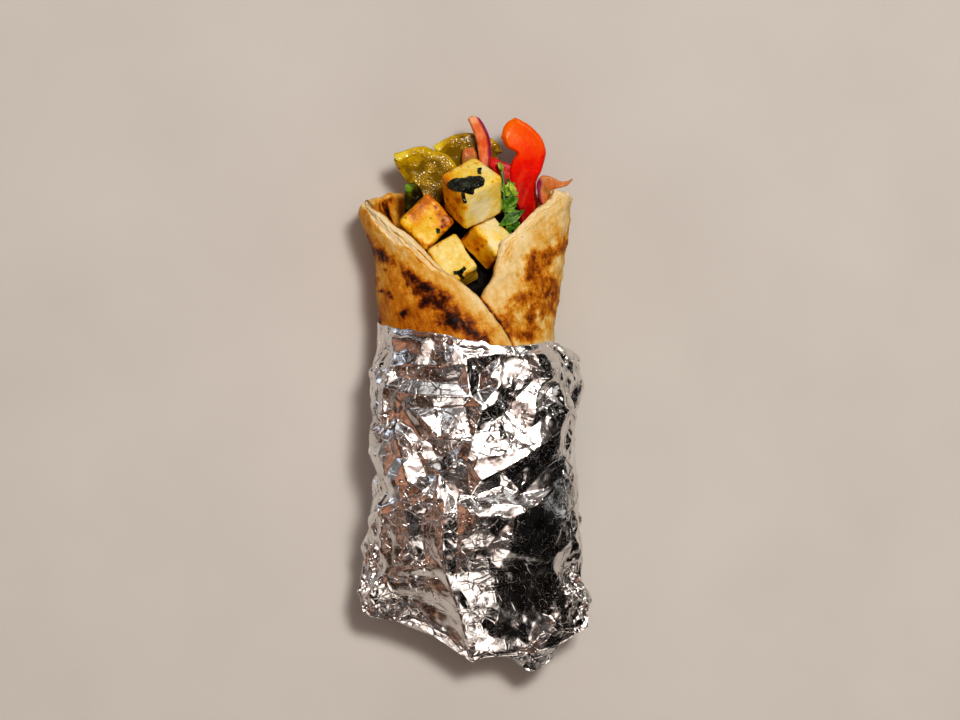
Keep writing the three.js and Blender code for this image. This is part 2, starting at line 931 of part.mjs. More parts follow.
// Assembly

const COLOURS = {
  bread: 0xd9a45c,
  foil: 0xc9cacc,
  filling: 0x3a3a1c,
  paneer: 0xe8b93c,
  green: 0x9a8a1e,
  onion: 0xe08a72,
  red: 0xd8240c,
  leaf: 0x3f7a28,
};

function material(colour, roughness, metalness = 0) {
  return new THREE.MeshStandardMaterial({ color: colour, roughness, metalness });
}

function named(name, mesh, look) {
  mesh.name = name;
  mesh.material = look;
  return mesh;
}

const LOOKS = {
  green_pepper_left: material(COLOURS.green, 0.3),
  green_pepper_back: material(COLOURS.green, 0.3),
  green_chilli: material(COLOURS.leaf, 0.35),
  onion_upright: material(COLOURS.onion, 0.3),
  onion_back: material(COLOURS.onion, 0.3),
  onion_right: material(COLOURS.onion, 0.3),
  red_pepper: material(COLOURS.red, 0.25),
};

const pieces = [];
for (const [name, spec] of Object.entries(PANEER)) {
  pieces.push(named(name, paneer(spec), material(COLOURS.paneer, 0.4)));
}
for (const [name, spec] of Object.entries(SLICES)) {
  pieces.push(named(name, new THREE.Mesh(ribbon(spec)), LOOKS[name]));
}

const find = (name) => pieces.find((mesh) => mesh.name === name);
const pepper = find("red_pepper");
pepper.geometry = toGeometry(toSolid(pepper.geometry).add(toSolid(ribbon(PEPPER_ARM))));

for (const herb of HERBS) addHerb(find(herb.on), herb);

pieces.push(named("coriander", new THREE.Mesh(coriander(pieces)), material(COLOURS.leaf, 0.5)));

let core = toSolid(fillingCore());
for (const mesh of pieces) core = core.subtract(toSolid(grow(placed(mesh), CLEARANCE)));

const roll = new THREE.Group();
roll.add(named("bread", new THREE.Mesh(bread()), material(COLOURS.bread, 0.7)));
roll.add(named("foil", new THREE.Mesh(foil()), material(COLOURS.foil, 0.2, 1)));
roll.add(named("filling", new THREE.Mesh(toGeometry(largest(core))), material(COLOURS.filling, 0.5)));
roll.add(...pieces);

export default roll;
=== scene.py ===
# Kati roll: a flatbread rolled round fried paneer and vegetables, its lower part wrapped in foil.
# It lies on its back, with the crossed front of the bread facing up. Sizes are millimetres.
import itertools
import math
from dataclasses import dataclass
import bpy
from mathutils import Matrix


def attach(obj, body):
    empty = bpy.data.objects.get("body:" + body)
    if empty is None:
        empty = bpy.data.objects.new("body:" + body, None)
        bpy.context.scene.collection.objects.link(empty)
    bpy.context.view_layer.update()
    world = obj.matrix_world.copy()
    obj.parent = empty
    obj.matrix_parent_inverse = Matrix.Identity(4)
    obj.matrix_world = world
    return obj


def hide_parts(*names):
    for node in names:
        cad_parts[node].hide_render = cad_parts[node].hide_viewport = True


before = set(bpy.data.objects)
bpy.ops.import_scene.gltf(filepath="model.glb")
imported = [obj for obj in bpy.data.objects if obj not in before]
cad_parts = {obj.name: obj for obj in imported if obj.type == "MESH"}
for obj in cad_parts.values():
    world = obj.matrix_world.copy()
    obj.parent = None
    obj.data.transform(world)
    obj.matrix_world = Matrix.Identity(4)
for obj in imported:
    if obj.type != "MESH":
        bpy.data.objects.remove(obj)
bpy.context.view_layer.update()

from types import SimpleNamespace
from typing import Callable

import bmesh
import bpy
import numpy as np
from mathutils import Vector
from mathutils.bvhtree import BVHTree
from mathutils.geometry import delaunay_2d_cdt

MM = 0.001
DEGREE = math.pi / 180
DOWN = Vector((0, 0, -1))

# Helpers for numbers


def profile(*stations):
    """A smooth function through (position, value) stations, level beyond both ends."""
    places, values = np.array(stations, float).T
    slopes = np.diff(values) / np.diff(places)
    product = slopes[:-1] * slopes[1:]
    rising = product > 0
    tangents = np.zeros(len(places))
    tangents[1:-1][rising] = 2 * product[rising] / (slopes[:-1] + slopes[1:])[rising]

    def value(at):
        at = np.clip(at, places[0], places[-1])
        i = np.clip(np.searchsorted(places, at, side="right") - 1, 0, len(places) - 2)
        width = places[i + 1] - places[i]
        t = (at - places[i]) / width
        rise = t * t * (3 - 2 * t)
        bend = width * t * (1 - t) * ((1 - t) * tangents[i] - t * tangents[i + 1])
        return values[i] * (1 - rise) + values[i + 1] * rise + bend

    return value


def lerp(a, b, share):
    return a + (b - a) * share


def smoothstep(value, low, high):
    t = np.clip((value - low) / (high - low), 0, 1)
    return t * t * (3 - 2 * t)


def falling(value, low, high):
    return 1 - smoothstep(value, low, high)


def bell(distance, width):
    return np.exp(-((distance / width) ** 2))


def unit(vectors):
    return vectors / np.maximum(np.linalg.norm(vectors, axis=-1, keepdims=True), 1e-9)


def scatter(cells, seed):
    """A fixed number from -1 to 1 for each whole-number cell."""
    steps = np.array([73856093, 19349663, 83492791])[: cells.shape[-1]]
    mixed = (cells * steps).sum(-1) + seed * 2654435
    mixed = (mixed ^ (mixed >> 13)) * 1274126177 & 0xFFFFFFFF
    mixed = (mixed ^ (mixed >> 16)) * 2246822519 & 0xFFFFFFFF
    return mixed / 0x7FFFFFFF - 1


def lumps(points, size, seed):
    """Smooth unevenness from -1 to 1, with lumps of the given size."""
    scaled = points / size + 1000
    base = np.floor(scaled).astype(np.int64)
    part = scaled - base
    part = part**3 * (part * (part * 6 - 15) + 10)
    total = np.zeros(points.shape[:-1])
    for corner in itertools.product((0, 1), repeat=points.shape[-1]):
        weight = np.prod(np.where(corner, part, 1 - part), -1)
        total += weight * scatter(base + corner, seed)
    return total


def fractal(points, size, seed, octaves=3):
    """Unevenness of several sizes, each half as large and half as strong as the last."""
    layers = [lumps(points, size / 2**k, seed + k) / 2**k for k in range(octaves)]
    return sum(layers)


def rounded(distance, width):
    """The share of full thickness at a distance from an edge that is rounded over a width."""
    inward = 1 - np.clip(distance / width, 0, 1)
    return np.sqrt(1 - inward * inward)


def thinned(u, v, across, along):
    """The share of full thickness on a sheet with edges rounded over parts of its width and length."""
    return np.minimum(rounded(np.minimum(u, 1 - u), across), rounded(np.minimum(v, 1 - v), along))


def toward(start, end, count, crowd):
    """Numbers from start to end, with more of them near the end."""
    share = np.linspace(0, 1, count)
    return start + (end - start) * (1 - (1 - share) ** crowd)


def eased(count):
    """Numbers from 0 to 1, with more of them near both ends."""
    return 0.5 - 0.5 * np.cos(np.pi * np.linspace(0, 1, count))


def from_path(spots, path):
    """Distance from each [x, y] spot to a path through [x, y] points."""
    corners = np.array(path, float)
    best = np.full(spots.shape[:-1], np.inf)
    for start, end in zip(corners, corners[1:] if len(corners) > 1 else corners):
        way = end - start
        along = np.clip((spots - start) @ way / max(way @ way, 1e-9), 0, 1)
        best = np.minimum(best, np.linalg.norm(spots - start - along[..., None] * way, axis=-1))
    return best


def spline(points, share):
    """A point on the curve through [x, y] points, at each share of the way along it."""
    points = np.array(points, float)
    last = len(points) - 1
    at = np.clip(share, 0, 1) * last
    i = np.minimum(np.floor(at).astype(int), last - 1)
    t = (at - i)[..., None]
    before, start = points[np.maximum(i - 1, 0)], points[i]
    end, after = points[i + 1], points[np.minimum(i + 2, last)]
    into, out = (end - before) / 2, (after - start) / 2
    return (
        start
        + t * into
        + t * t * (3 * (end - start) - 2 * into - out)
        + t * t * t * (2 * (start - end) + into + out)
    )


def drop(tree, spots, start, missing=0):
    """The height where a straight fall from start meets a surface, at each [x, y] spot."""
    hits = [tree.ray_cast((x, y, start), DOWN)[0] for x, y in spots.reshape(-1, 2)]
    return np.array([h.z if h else missing for h in hits]).reshape(spots.shape[:-1])


# Helpers for meshes


def quads(number):
    """Four-sided faces between the neighbours of a grid of point numbers."""
    a, b = number[:-1, :-1], number[:-1, 1:]
    c, d = number[1:, :-1], number[1:, 1:]
    return np.stack([a, b, d, c], -1).reshape(-1, 4)


def tube(rings):
    """Faces of a tube through rings of points, with both ends capped."""
    number = np.arange(rings[..., 0].size).reshape(rings.shape[:2])
    closed = np.concatenate([number, number[:, :1]], 1)
    return [*quads(closed), number[0, ::-1], number[-1]]


def add_piece(name, node, points, faces, look, values):
    """A mesh that stands for a CAD node, with named values at its points for its look."""
    used, corners = np.unique(np.concatenate([np.ravel(f) for f in faces]), return_inverse=True)
    ends = np.cumsum([len(f) for f in faces])[:-1]
    mesh = bpy.data.meshes.new(name)
    mesh.from_pydata((points[used] * MM).tolist(), [], [f.tolist() for f in np.split(corners, ends)])
    for key, numbers in values.items():
        layer = mesh.attributes.new(key, "FLOAT", "POINT")
        layer.data.foreach_set("value", np.ravel(numbers)[used].astype(np.float32))
    mesh.shade_smooth()
    mesh.materials.append(look)
    piece = bpy.data.objects.new(name, mesh)
    bpy.context.scene.collection.objects.link(piece)
    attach(piece, "root")
    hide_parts(node)
    return piece


def grid_normals(points):
    return unit(np.cross(np.gradient(points, axis=1), np.gradient(points, axis=0)))


def slab(middle, half, relief=0.0, back_relief=0.0):
    """Points and faces of a thin solid round a grid of middle points. Its rim has no thickness."""
    normal = grid_normals(middle)
    inside = half > 0
    front = middle + normal * (half + relief * inside)[..., None]
    back = middle - normal * (half + back_relief * inside)[..., None]
    rows, columns = half.shape
    number = np.arange(rows * columns).reshape(rows, columns)
    rim = np.ones((rows, columns), bool)
    rim[1:-1, 1:-1] = False
    behind = np.where(rim, number, number + rows * columns)
    points = np.concatenate([front.reshape(-1, 3), back.reshape(-1, 3)])
    return points, np.concatenate([quads(number), quads(behind)[:, ::-1]])


def both_faces(**shares):
    """Values at a slab's points, each from one grid for both faces or a pair: front and back."""
    pairs = {key: grid if isinstance(grid, tuple) else (grid, grid) for key, grid in shares.items()}
    return {key: np.concatenate([np.ravel(grid) for grid in pair]) for key, pair in pairs.items()}


# Helpers for looks


def colour(code):
    """Linear red, green, blue and alpha from a display colour such as #d0a060."""
    parts = [int(code[i : i + 2], 16) / 255 for i in (1, 3, 5)]
    return [p / 12.92 if p <= 0.04045 else ((p + 0.055) / 1.055) ** 2.4 for p in parts] + [1.0]


# Where most values of a noise lie
NOISE_LOW = 0.3
NOISE_HIGH = 0.7


class Nodes:
    """Builds up a node tree, whose textures read the place that a source node gives."""

    def __init__(self, tree, source, output):
        self.tree = tree
        self.place = self.add(source).outputs[output]

    def add(self, kind, inputs=None, **settings):
        made = self.tree.nodes.new(kind)
        for key, value in settings.items():
            setattr(made, key, value)
        for key, value in (inputs or {}).items():
            self.feed(made.inputs[key], value)
        return made

    def feed(self, socket, value):
        if isinstance(value, bpy.types.NodeSocket):
            self.tree.links.new(value, socket)
        else:
            socket.default_value = value

    def noise(self, size, detail=3.0, roughness=0.55, distortion=0.0, stretch=None):
        place = self.place
        if stretch:
            across, along, angle = stretch
            turned = {"Vector": place, "Scale": (across, along, 1), "Rotation": (0, 0, angle * DEGREE)}
            place = self.add("ShaderNodeMapping", turned, vector_type="TEXTURE").outputs["Vector"]
        inputs = {"Vector": place, "Scale": 1 / (size * MM), "Detail": detail}
        inputs |= {"Roughness": roughness, "Distortion": distortion}
        return self.add("ShaderNodeTexNoise", inputs).outputs["Fac"]

    def cells(self, size, feature="F1"):
        inputs = {"Vector": self.place, "Scale": 1 / (size * MM)}
        return self.add("ShaderNodeTexVoronoi", inputs, feature=feature).outputs

    def chance(self, cells):
        """A random number for each cell."""
        return self.add("ShaderNodeSeparateColor", {0: cells["Color"]}).outputs[0]

    def specks(self, size, reach, chosen):
        """Small specks in the middle of some cells, from 0 to 1."""
        cells = self.cells(size)
        speck = self.span(cells["Distance"], *reach, 1, 0)
        return self.times(speck, self.span(self.chance(cells), *chosen))

    def vectors(self, operation, inputs):
        return self.add("ShaderNodeVectorMath", inputs, operation=operation).outputs

    def facets(self, size):
        """Heights of small flat facets, each tilted its own way."""
        cells = self.cells(size)
        away = self.vectors("SUBTRACT", {0: self.place, 1: cells["Position"]})["Vector"]
        away = self.vectors("SCALE", {0: away, "Scale": 1 / (size * MM)})["Vector"]
        tilt = self.vectors("SUBTRACT", {0: cells["Color"], 1: (0.5, 0.5, 0.5)})["Vector"]
        return self.vectors("DOT_PRODUCT", {0: away, 1: tilt})["Value"]

    def maths(self, operation, a, b=0.0, c=0.0):
        return self.add("ShaderNodeMath", {0: a, 1: b, 2: c}, operation=operation).outputs[0]

    def times(self, a, b):
        return self.maths("MULTIPLY", a, b)

    def total(self, first, *others):
        for other in others:
            first = self.maths("ADD", first, other)
        return first

    def off_half(self, value):
        """How far a value is from one half."""
        return self.maths("ABSOLUTE", self.maths("SUBTRACT", value, 0.5))

    def span(self, value, low, high, to_low=0.0, to_high=1.0, **settings):
        inputs = {"Value": value, "From Min": low, "From Max": high}
        inputs |= {"To Min": to_low, "To Max": to_high}
        return self.add("ShaderNodeMapRange", inputs, **settings).outputs["Result"]

    def vary(self, noise, amount):
        """A noise as a change of up to an amount either way."""
        return self.span(noise, NOISE_LOW, NOISE_HIGH, -amount, amount)

    def ramp(self, value, *stops):
        made = self.add("ShaderNodeValToRGB", {"Fac": value})
        elements = made.color_ramp.elements
        while len(elements) < len(stops):
            elements.new(0.5)
        for element, (at, code) in zip(elements, stops):
            element.position = at
            element.color = colour(code)
        return made.outputs["Color"]

    def blend(self, share, a, b):
        made = self.add("ShaderNodeMix", {0: share}, data_type="RGBA")
        for socket, value in ((made.inputs[6], a), (made.inputs[7], b)):
            self.feed(socket, colour(value) if isinstance(value, str) else value)
        return made.outputs[2]


class Look(Nodes):
    """A Principled material, with fixed values for some of its inputs."""

    def __init__(self, name, **fixed):
        self.material = bpy.data.materials.new(name)
        self.material.use_nodes = True
        super().__init__(self.material.node_tree, "ShaderNodeTexCoord", "Object")
        self.shader = self.tree.nodes["Principled BSDF"]
        for key, value in fixed.items():
            self.set(key.replace("_", " "), value)

    def set(self, key, value):
        self.feed(self.shader.inputs[key], value)

    def value(self, key):
        """A named value that the mesh holds at its points."""
        return self.add("ShaderNodeAttribute", attribute_name=key).outputs["Fac"]

    def flesh(self, weight, depth, radius):
        """Lets light in, to a depth and to a different radius for red, green and blue."""
        self.set("Subsurface Weight", weight)
        self.set("Subsurface Scale", depth * MM)
        self.set("Subsurface Radius", radius)

    def gloss(self, size, low, high, detail=2):
        """Roughness between two values, in patches of the given size."""
        self.set("Roughness", self.span(self.noise(size, detail), NOISE_LOW, NOISE_HIGH, low, high))

    def bump(self, height, depth, strength=1.0, under=None):
        inputs = {"Height": height, "Distance": depth * MM, "Strength": strength}
        if under:
            inputs["Normal"] = under
        normal = self.add("ShaderNodeBump", inputs).outputs["Normal"]
        self.set("Normal", normal)
        return normal


# The roll's section: the CAD part's, with a slimmer left side below the mouth

CLEARANCE = 0.4
BREAD_THICKNESS = 4.4
BREAD_LIFT = BREAD_THICKNESS + CLEARANCE
BREAD_END = -22
# Angles round the roll in degrees: the flaps' tips, and where the overlap rises and falls
LEFT_TIP = 114
RIGHT_TIP = -119
FLAP_RISE = (80, 160)
WRAP_FALL = (235, 268)
ROLL_UNDERSIDE = profile((-24, 9), (-4, 3.4), (15, 1.4), (106, 1.4))
ROLL_HALF_WIDTH = profile(
    (-24, 28.4), (0, 30.3), (57, 31), (72, 32.4), (82, 33.5), (90, 35.5), (99, 37.5), (106, 38.6),
)
ROLL_CENTRE = profile(
    (-28, -1), (0, -2), (57, -2.7), (72, -2.1), (82, -1.6), (90, -2.2), (99, -3.4), (106, -3.7),
)
ROLL_HALF_HEIGHT = profile((-24, 13.4), (-4, 18.6), (20, 20.3), (57, 20.5), (106, 21))
LEFT_FLAP_EDGE = profile(
    (-28, 16), (30, 16), (50.4, 11.8), (56.8, 8.4), (66.7, 1.8), (78.5, -12.2), (88, -21),
    (94.9, -30.2), (101.8, -38.7),
)
RIGHT_FLAP_EDGE = profile(
    (-28, -14), (30, -14), (50, -9), (60, -3), (67, 1.8), (75, 6.6), (80, 7.9), (86.5, 9.3),
    (90.6, 14.5), (95.6, 19.3), (105, 29.8),
)
BREAD_RIM = profile(
    (RIGHT_TIP, 105.4), (-90, 103.8), (-40, 105.4), (0, 106), (40, 105.4), (90, 100),
    (LEFT_TIP, 101.8),
)


def roll_point(y, turn, offset):
    """A point at an angle round the roll, at a distance outside the face of one bread layer."""
    a, b = ROLL_HALF_WIDTH(y), ROLL_HALF_HEIGHT(y)
    sine, cosine = np.sin(turn), np.cos(turn)
    outward = unit(np.stack([-sine / a, -cosine / b], -1))
    x = ROLL_CENTRE(y) - a * sine + offset * outward[..., 0]
    z = ROLL_UNDERSIDE(y) + b - b * cosine + offset * outward[..., 1]
    return np.stack([x, y, z], -1)


def flap_lift(turn):
    """How far the left flap has risen over the right one."""
    return BREAD_LIFT * smoothstep(turn / DEGREE, *FLAP_RISE)


def wrap_lift(turn):
    """How far the bread's overlapped front stands out."""
    return flap_lift(turn) * falling(turn / DEGREE, *WRAP_FALL)


# Bread

# The mean radius, for distances round the roll
BREAD_RADIUS = 36
BREAD_WAVE = 0.42
BREAD_ROUNDING = 1.5
EDGE_RAGGED = 0.5
# The Y where the bread comes out of the foil, and where and how much the left flap's tip thins
OUT_OF_FOIL = (52, 60)
TIP_THIN = (90, 101)
TIP_REACH = (4, 16)
TIP_THINNING = 0.4
# The left flap's lip, which is folded over at its lower part, and the right flap's flaky edge
LIP_START = 76.5
LIP_FOLDED = (84, 88)
LIP_STEP = 0.8
LIP_WIDTH = profile((77, 3.4), (81.5, 3.8), (85.2, 4.8), (86.4, 7.2), (92, 6.4), (101, 4.8))
NO_LIP = -2
CRACK_WIDTH = 0.35
FLAKE_START = 82
FLAKE_WIDTH = 2.0
LAYER_SPACING = 1.7
LEFT_TONE = 0.42
RIGHT_TONE = 0.2
LIP_TONE = 0.03
FOLD_TONE = 0.08
INSIDE_TONE = 0.5
# The bare edge along the rim, which isn't browned
BARE_RIM = (0.8, 2.6)
# The way that the right flap's free edge runs
RIGHT_EDGE_WAY = (0.763, 0.646)
# The sheet's grid: shares of its width and length where the fine parts start, the lines in each
# part, and how much they crowd towards the edges
FLAP_STARTS = (0.3, 0.68)
SHOWN_START = 0.53
RIGHT_LINES = 128
BACK_LINES = 34
LEFT_LINES = 150
HIDDEN_LINES = 8
SHOWN_LINES = 136
FLAP_CROWDING = 1.25
RIM_CROWDING = 1.2

# Browned places on each flap: the path [x, y] that they follow, half width and strength
LEFT_BROWNING = [
    ([(-35.7, 85.8), (-31.5, 82.6), (-29, 81.6)], 2.2, 0.95),
    ([(-37.1, 89.3)], 1.5, 0.8),
    ([(-22.6, 76), (-20.6, 73.4), (-19.6, 70.8)], 2.5, 1.0),
    ([(-16.3, 71)], 2.4, 0.95),
    ([(-15.4, 67), (-11, 65.8)], 3.0, 1.1),
    ([(-18.6, 69), (-17, 67.4)], 1.8, 0.6),
    ([(-11.4, 68.6), (-8.8, 64)], 2.2, 0.85),
    ([(-11.4, 59.8), (-8.6, 59.4)], 2.4, 1.0),
    ([(-7.4, 59), (-1.4, 56.6), (1.4, 53)], 3.8, 1.1),
    ([(-30.3, 76.8)], 1.0, 0.85),
    ([(-32.7, 73)], 1.3, 0.6),
    ([(-30.6, 69.8)], 1.0, 0.75),
    ([(-28.7, 69)], 0.9, 0.75),
    ([(-27.7, 67.2)], 0.8, 0.65),
    ([(-23.5, 61.2)], 1.7, 0.9),
    ([(-30.8, 59.8)], 2.0, 0.5),
    ([(-34, 84), (-25, 78.6), (-19, 71), (-9, 64), (1, 55)], 5.5, 0.08),
]
RIGHT_BROWNING = [
    ([(33.3, 95.8), (31.9, 92.3), (30, 87.8)], 1.8, 0.9),
    ([(29, 85.6), (26.4, 83.6), (23.2, 81.8)], 2.0, 1.0),
    ([(19.4, 80), (19.6, 76.1), (22, 73.5), (24.9, 70.9)], 2.8, 1.5),
    ([(25.6, 71.4), (25.2, 66.5), (23.6, 63)], 2.2, 1.6),
    ([(22, 66.6), (19.4, 62)], 2.6, 0.9),
    ([(20, 68), (15.8, 66.8), (12.2, 64.8), (10.4, 61)], 2.3, 0.85),
    ([(8.6, 58.4), (11, 57)], 1.6, 1.0),
    ([(11.2, 54.4), (17.6, 53)], 2.4, 1.2),
    ([(19.3, 57.6), (21.9, 55.4)], 2.4, 0.5),
    ([(31, 90), (25, 83), (21, 76), (24, 66), (14, 62)], 4.4, 0.4),
]


def bread_spot(u, v):
    """Angle and Y of a spot: u runs from the right flap's edge to the left's, v out to the rim."""
    side = 2 * u - 1
    tip = np.where(side > 0, LEFT_TIP, RIGHT_TIP)
    end_y = lerp(BREAD_END, BREAD_RIM(tip), v)
    edge = np.where(side > 0, LEFT_FLAP_EDGE(end_y), RIGHT_FLAP_EDGE(end_y))
    edge += EDGE_RAGGED * fractal(np.stack([end_y, np.sign(side) * 50], -1), 3.5, 11)
    across = np.clip((edge - ROLL_CENTRE(end_y)) / ROLL_HALF_WIDTH(end_y), -1, 1)
    turn = side * (np.pi + np.sign(side) * np.arcsin(across))
    rim = BREAD_RIM(tip * np.abs(side))
    rim += EDGE_RAGGED * fractal(np.stack([turn * BREAD_RADIUS, turn * 0], -1), 5, 12)
    return turn, lerp(BREAD_END, rim, v)


def browning(spots, places):
    """How browned each [x, y] spot is by the given places, from 0 to 1."""
    drift = np.stack([fractal(spots, 4, seed, 3) for seed in (21, 22)], -1)
    spots = spots + 1.1 * drift
    tone = np.zeros(spots.shape[:-1])
    for path, width, strength in places:
        tone += (1 - tone) * strength * bell(from_path(spots, path), width)
    return tone


def bread_look():
    look = Look("bread", Specular_IOR_Level=0.14)
    look.flesh(0.1, 1.5, (1.0, 0.6, 0.25))
    blotch = look.noise(3.4, 4)
    grain = look.noise(0.9, 4)
    streak = look.noise(1.5, stretch=(1, 7, 26))
    strengths = ((grain, 0.05), (blotch, 0.06), (streak, 0.08), (look.noise(9), 0.09))
    mottle = look.total(*[look.vary(noise, amount) for noise, amount in strengths])
    plain = look.total(look.value("tone"), mottle)
    pale = look.total(look.times(mottle, 0.6), look.value("pale"))
    lip = look.span(look.total(look.value("lip"), look.vary(grain, 0.25)), -0.1, 0.1)
    tone = look.add("ShaderNodeMix", {"Factor": lip, "A": plain, "B": pale}).outputs[0]
    uneven = look.total(look.span(blotch, 0.28, 0.72, -0.5, 0.5), look.vary(grain, 0.15))
    # The brown value holds browning and painted shade, and the shade also darkens the halo and char
    brown = look.value("brown")
    patch_and_shade = look.maths("MULTIPLY_ADD", brown, uneven, brown)
    patch_and_shade = look.maths("MULTIPLY_ADD", uneven, 0.06, patch_and_shade)
    halo = look.span(patch_and_shade, 0.06, 0.55, 0, 0.22)
    char_and_shade = look.span(patch_and_shade, 0.42, 1.2, 0, 0.27)
    tone = look.total(tone, halo, char_and_shade)
    base = look.ramp(
        tone,
        (0.0, "#f9e4b6"), (0.2, "#f0cf8c"), (0.36, "#e4ac48"), (0.5, "#d08618"),
        (0.64, "#ae600a"), (0.78, "#753606"), (0.9, "#3e1805"), (1.0, "#1e0c05"),
    )
    speck = look.specks(2.1, (0.06, 0.22), (0.75, 0.9))
    look.set("Base Color", look.blend(look.times(speck, 0.45), base, "#8a4a14"))
    look.set("Roughness", look.span(tone, 0.3, 0.9, 0.55, 0.38))
    rough = look.total(grain, look.times(streak, 0.8), look.times(look.noise(0.45, 2), 0.5))
    look.bump(rough, 0.22, 0.9)
    return look.material


def bread_sheet():
    """The sheet's grid of middle points, and each one's distances from the edges."""
    right_start, left_start = FLAP_STARTS
    columns = [
        toward(right_start, 0, RIGHT_LINES, FLAP_CROWDING)[::-1],
        np.linspace(right_start, left_start, BACK_LINES)[1:-1],
        toward(left_start, 1, LEFT_LINES, FLAP_CROWDING),
    ]
    rows = [
        np.linspace(0, SHOWN_START, HIDDEN_LINES)[:-1],
        toward(SHOWN_START, 1, SHOWN_LINES, RIM_CROWDING),
    ]
    u, v = np.meshgrid(np.concatenate(columns), np.concatenate(rows))
    turn, y = bread_spot(u, v)
    middle = roll_point(y, turn, flap_lift(turn) - BREAD_THICKNESS / 2)
    left = u > 0.5
    end = np.where(left, turn[:, -1:], turn[:, :1])
    return SimpleNamespace(
        turn=turn, y=y, middle=middle, left=left,
        reach=ROLL_HALF_WIDTH(y) * np.abs(end - turn), rim=y[-1] - y,
        spots=middle[..., :2], flat=np.stack([turn * BREAD_RADIUS, y], -1),
    )


def tear_edges(sheet):
    """Adds the torn lip with its cracks, the layers at the right flap's edge and the bare rim."""
    y, left, reach, flat = sheet.y, sheet.left, sheet.reach, sheet.flat
    sheet.folded = falling(y, *LIP_FOLDED)
    ragged = (1 - 0.85 * sheet.folded) * (0.8 * fractal(flat, 3, 31) + 0.3 * lumps(flat, 0.9, 33))
    lip = np.where(left & (y > LIP_START), LIP_WIDTH(y) + ragged - reach, NO_LIP)
    flake = np.where(~left & (y > FLAKE_START), FLAKE_WIDTH + 0.8 * ragged - reach, NO_LIP)
    sheet.torn = np.maximum(lip, flake)
    crack = bell(reach - LIP_WIDTH(y) * (0.45 + 0.12 * fractal(flat, 6, 64)), CRACK_WIDTH)
    sheet.crack = crack * smoothstep(lip, 0, 0.6) * smoothstep(fractal(flat, 8, 65), -0.5, 0.1)
    sheet.fold_line = left * sheet.folded * smoothstep(y, LIP_START, 79) * bell(lip, CRACK_WIDTH)
    sheet.layered = ~left * smoothstep(y, 77, 83) * falling(reach, 2.8, 6)
    sheet.layers = np.sin(2 * np.pi * (reach / LAYER_SPACING + 0.9 * fractal(flat, 9, 68)))
    sheet.bare = falling(sheet.rim, *BARE_RIM)


def brown_sheet(sheet):
    """Adds how browned the outer face is, with painted shade beside and under the left flap's edge."""
    y, left, spots = sheet.y, sheet.left, sheet.spots
    front = np.where(left, browning(spots, LEFT_BROWNING), browning(spots, RIGHT_BROWNING))
    back = 0.8 * smoothstep(fractal(sheet.flat, 9, 41, 4), 0.1, 0.9)
    beside = spots[..., 0] - LEFT_FLAP_EDGE(y)
    # Painted shadow on the right flap beside the left flap's edge, and painted shade in the crevice
    # under that edge
    flap_shadow = ~left * bell(beside, 1.8) * falling(y, 64, 71)
    sheet.crevice = ~left * bell(beside, 0.9) * falling(y, 66, 72)
    facing = smoothstep(np.abs(sheet.turn), 1.3, 1.7)
    brown = lerp(back, np.maximum(front, 0.7 * flap_shadow), facing)
    sheet.brown = brown * (1 - 0.8 * smoothstep(sheet.torn, -0.2, 0.4))


def bread_relief(sheet):
    """Heights of the outer face: waves, blisters, torn edges, wrinkles, layers and cracks."""
    y, left, flat, torn = sheet.y, sheet.left, sheet.flat, sheet.torn
    shown = 0.2 + 0.8 * smoothstep(y, *OUT_OF_FOIL)
    wave = fractal(flat, 9, 51) + 0.4 * lumps(flat, 2.4, 54) + 0.18 * lumps(flat, 1.0, 55)
    blister = 0.45 * smoothstep(sheet.brown, 0.3, 0.8) * (0.5 + 0.5 * lumps(flat, 2.2, 56))
    relief = shown * (BREAD_WAVE * wave + blister) - LIP_STEP * smoothstep(torn, -0.2, 0.2)
    relief += smoothstep(torn, -0.2, 0.4) * (0.3 * lumps(flat, 1.6, 66) + 0.15 * lumps(flat, 0.8, 67))
    along = sheet.spots @ RIGHT_EDGE_WAY
    across = sheet.spots @ (-RIGHT_EDGE_WAY[1], RIGHT_EDGE_WAY[0])
    wrinkles = fractal(np.stack([across, 0.2 * along], -1), 2.6, 69)
    relief += 0.35 * wrinkles * ~left * smoothstep(y, 66, 78)
    relief -= 0.4 * sheet.layered * smoothstep(sheet.layers, -0.4, 0.4)
    return relief - 0.5 * sheet.crack - 0.3 * sheet.fold_line


def bread_tone(sheet):
    """How dark the outer face is apart from its browned places, with painted shade and a painted
    highlight.
    """
    y, left, reach = sheet.y, sheet.left, sheet.reach
    tone = np.where(left, LEFT_TONE, RIGHT_TONE) + 0.08 * fractal(sheet.flat, 7, 61)
    # Painted shade in the crevice under the left flap's edge, and the flaky layers' stripes
    tone += 0.5 * sheet.crevice + 0.1 * sheet.layered * sheet.layers
    tone -= 0.06 * left * falling(reach, 6, 14) * falling(y, 86, 92)
    # Painted shade: darker towards the left flap's lower side, and on both flaps towards the foil
    tone += 0.06 * left * smoothstep(reach, 14, 24) * falling(y, 66, 80)
    tone += 0.07 * falling(y, 56, 68)
    # Painted highlight along the left flap's rounded edge
    tone -= 0.12 * left * falling(reach, 1.5, 4) * falling(y, 76, 80)
    return tone - 0.12 * sheet.bare


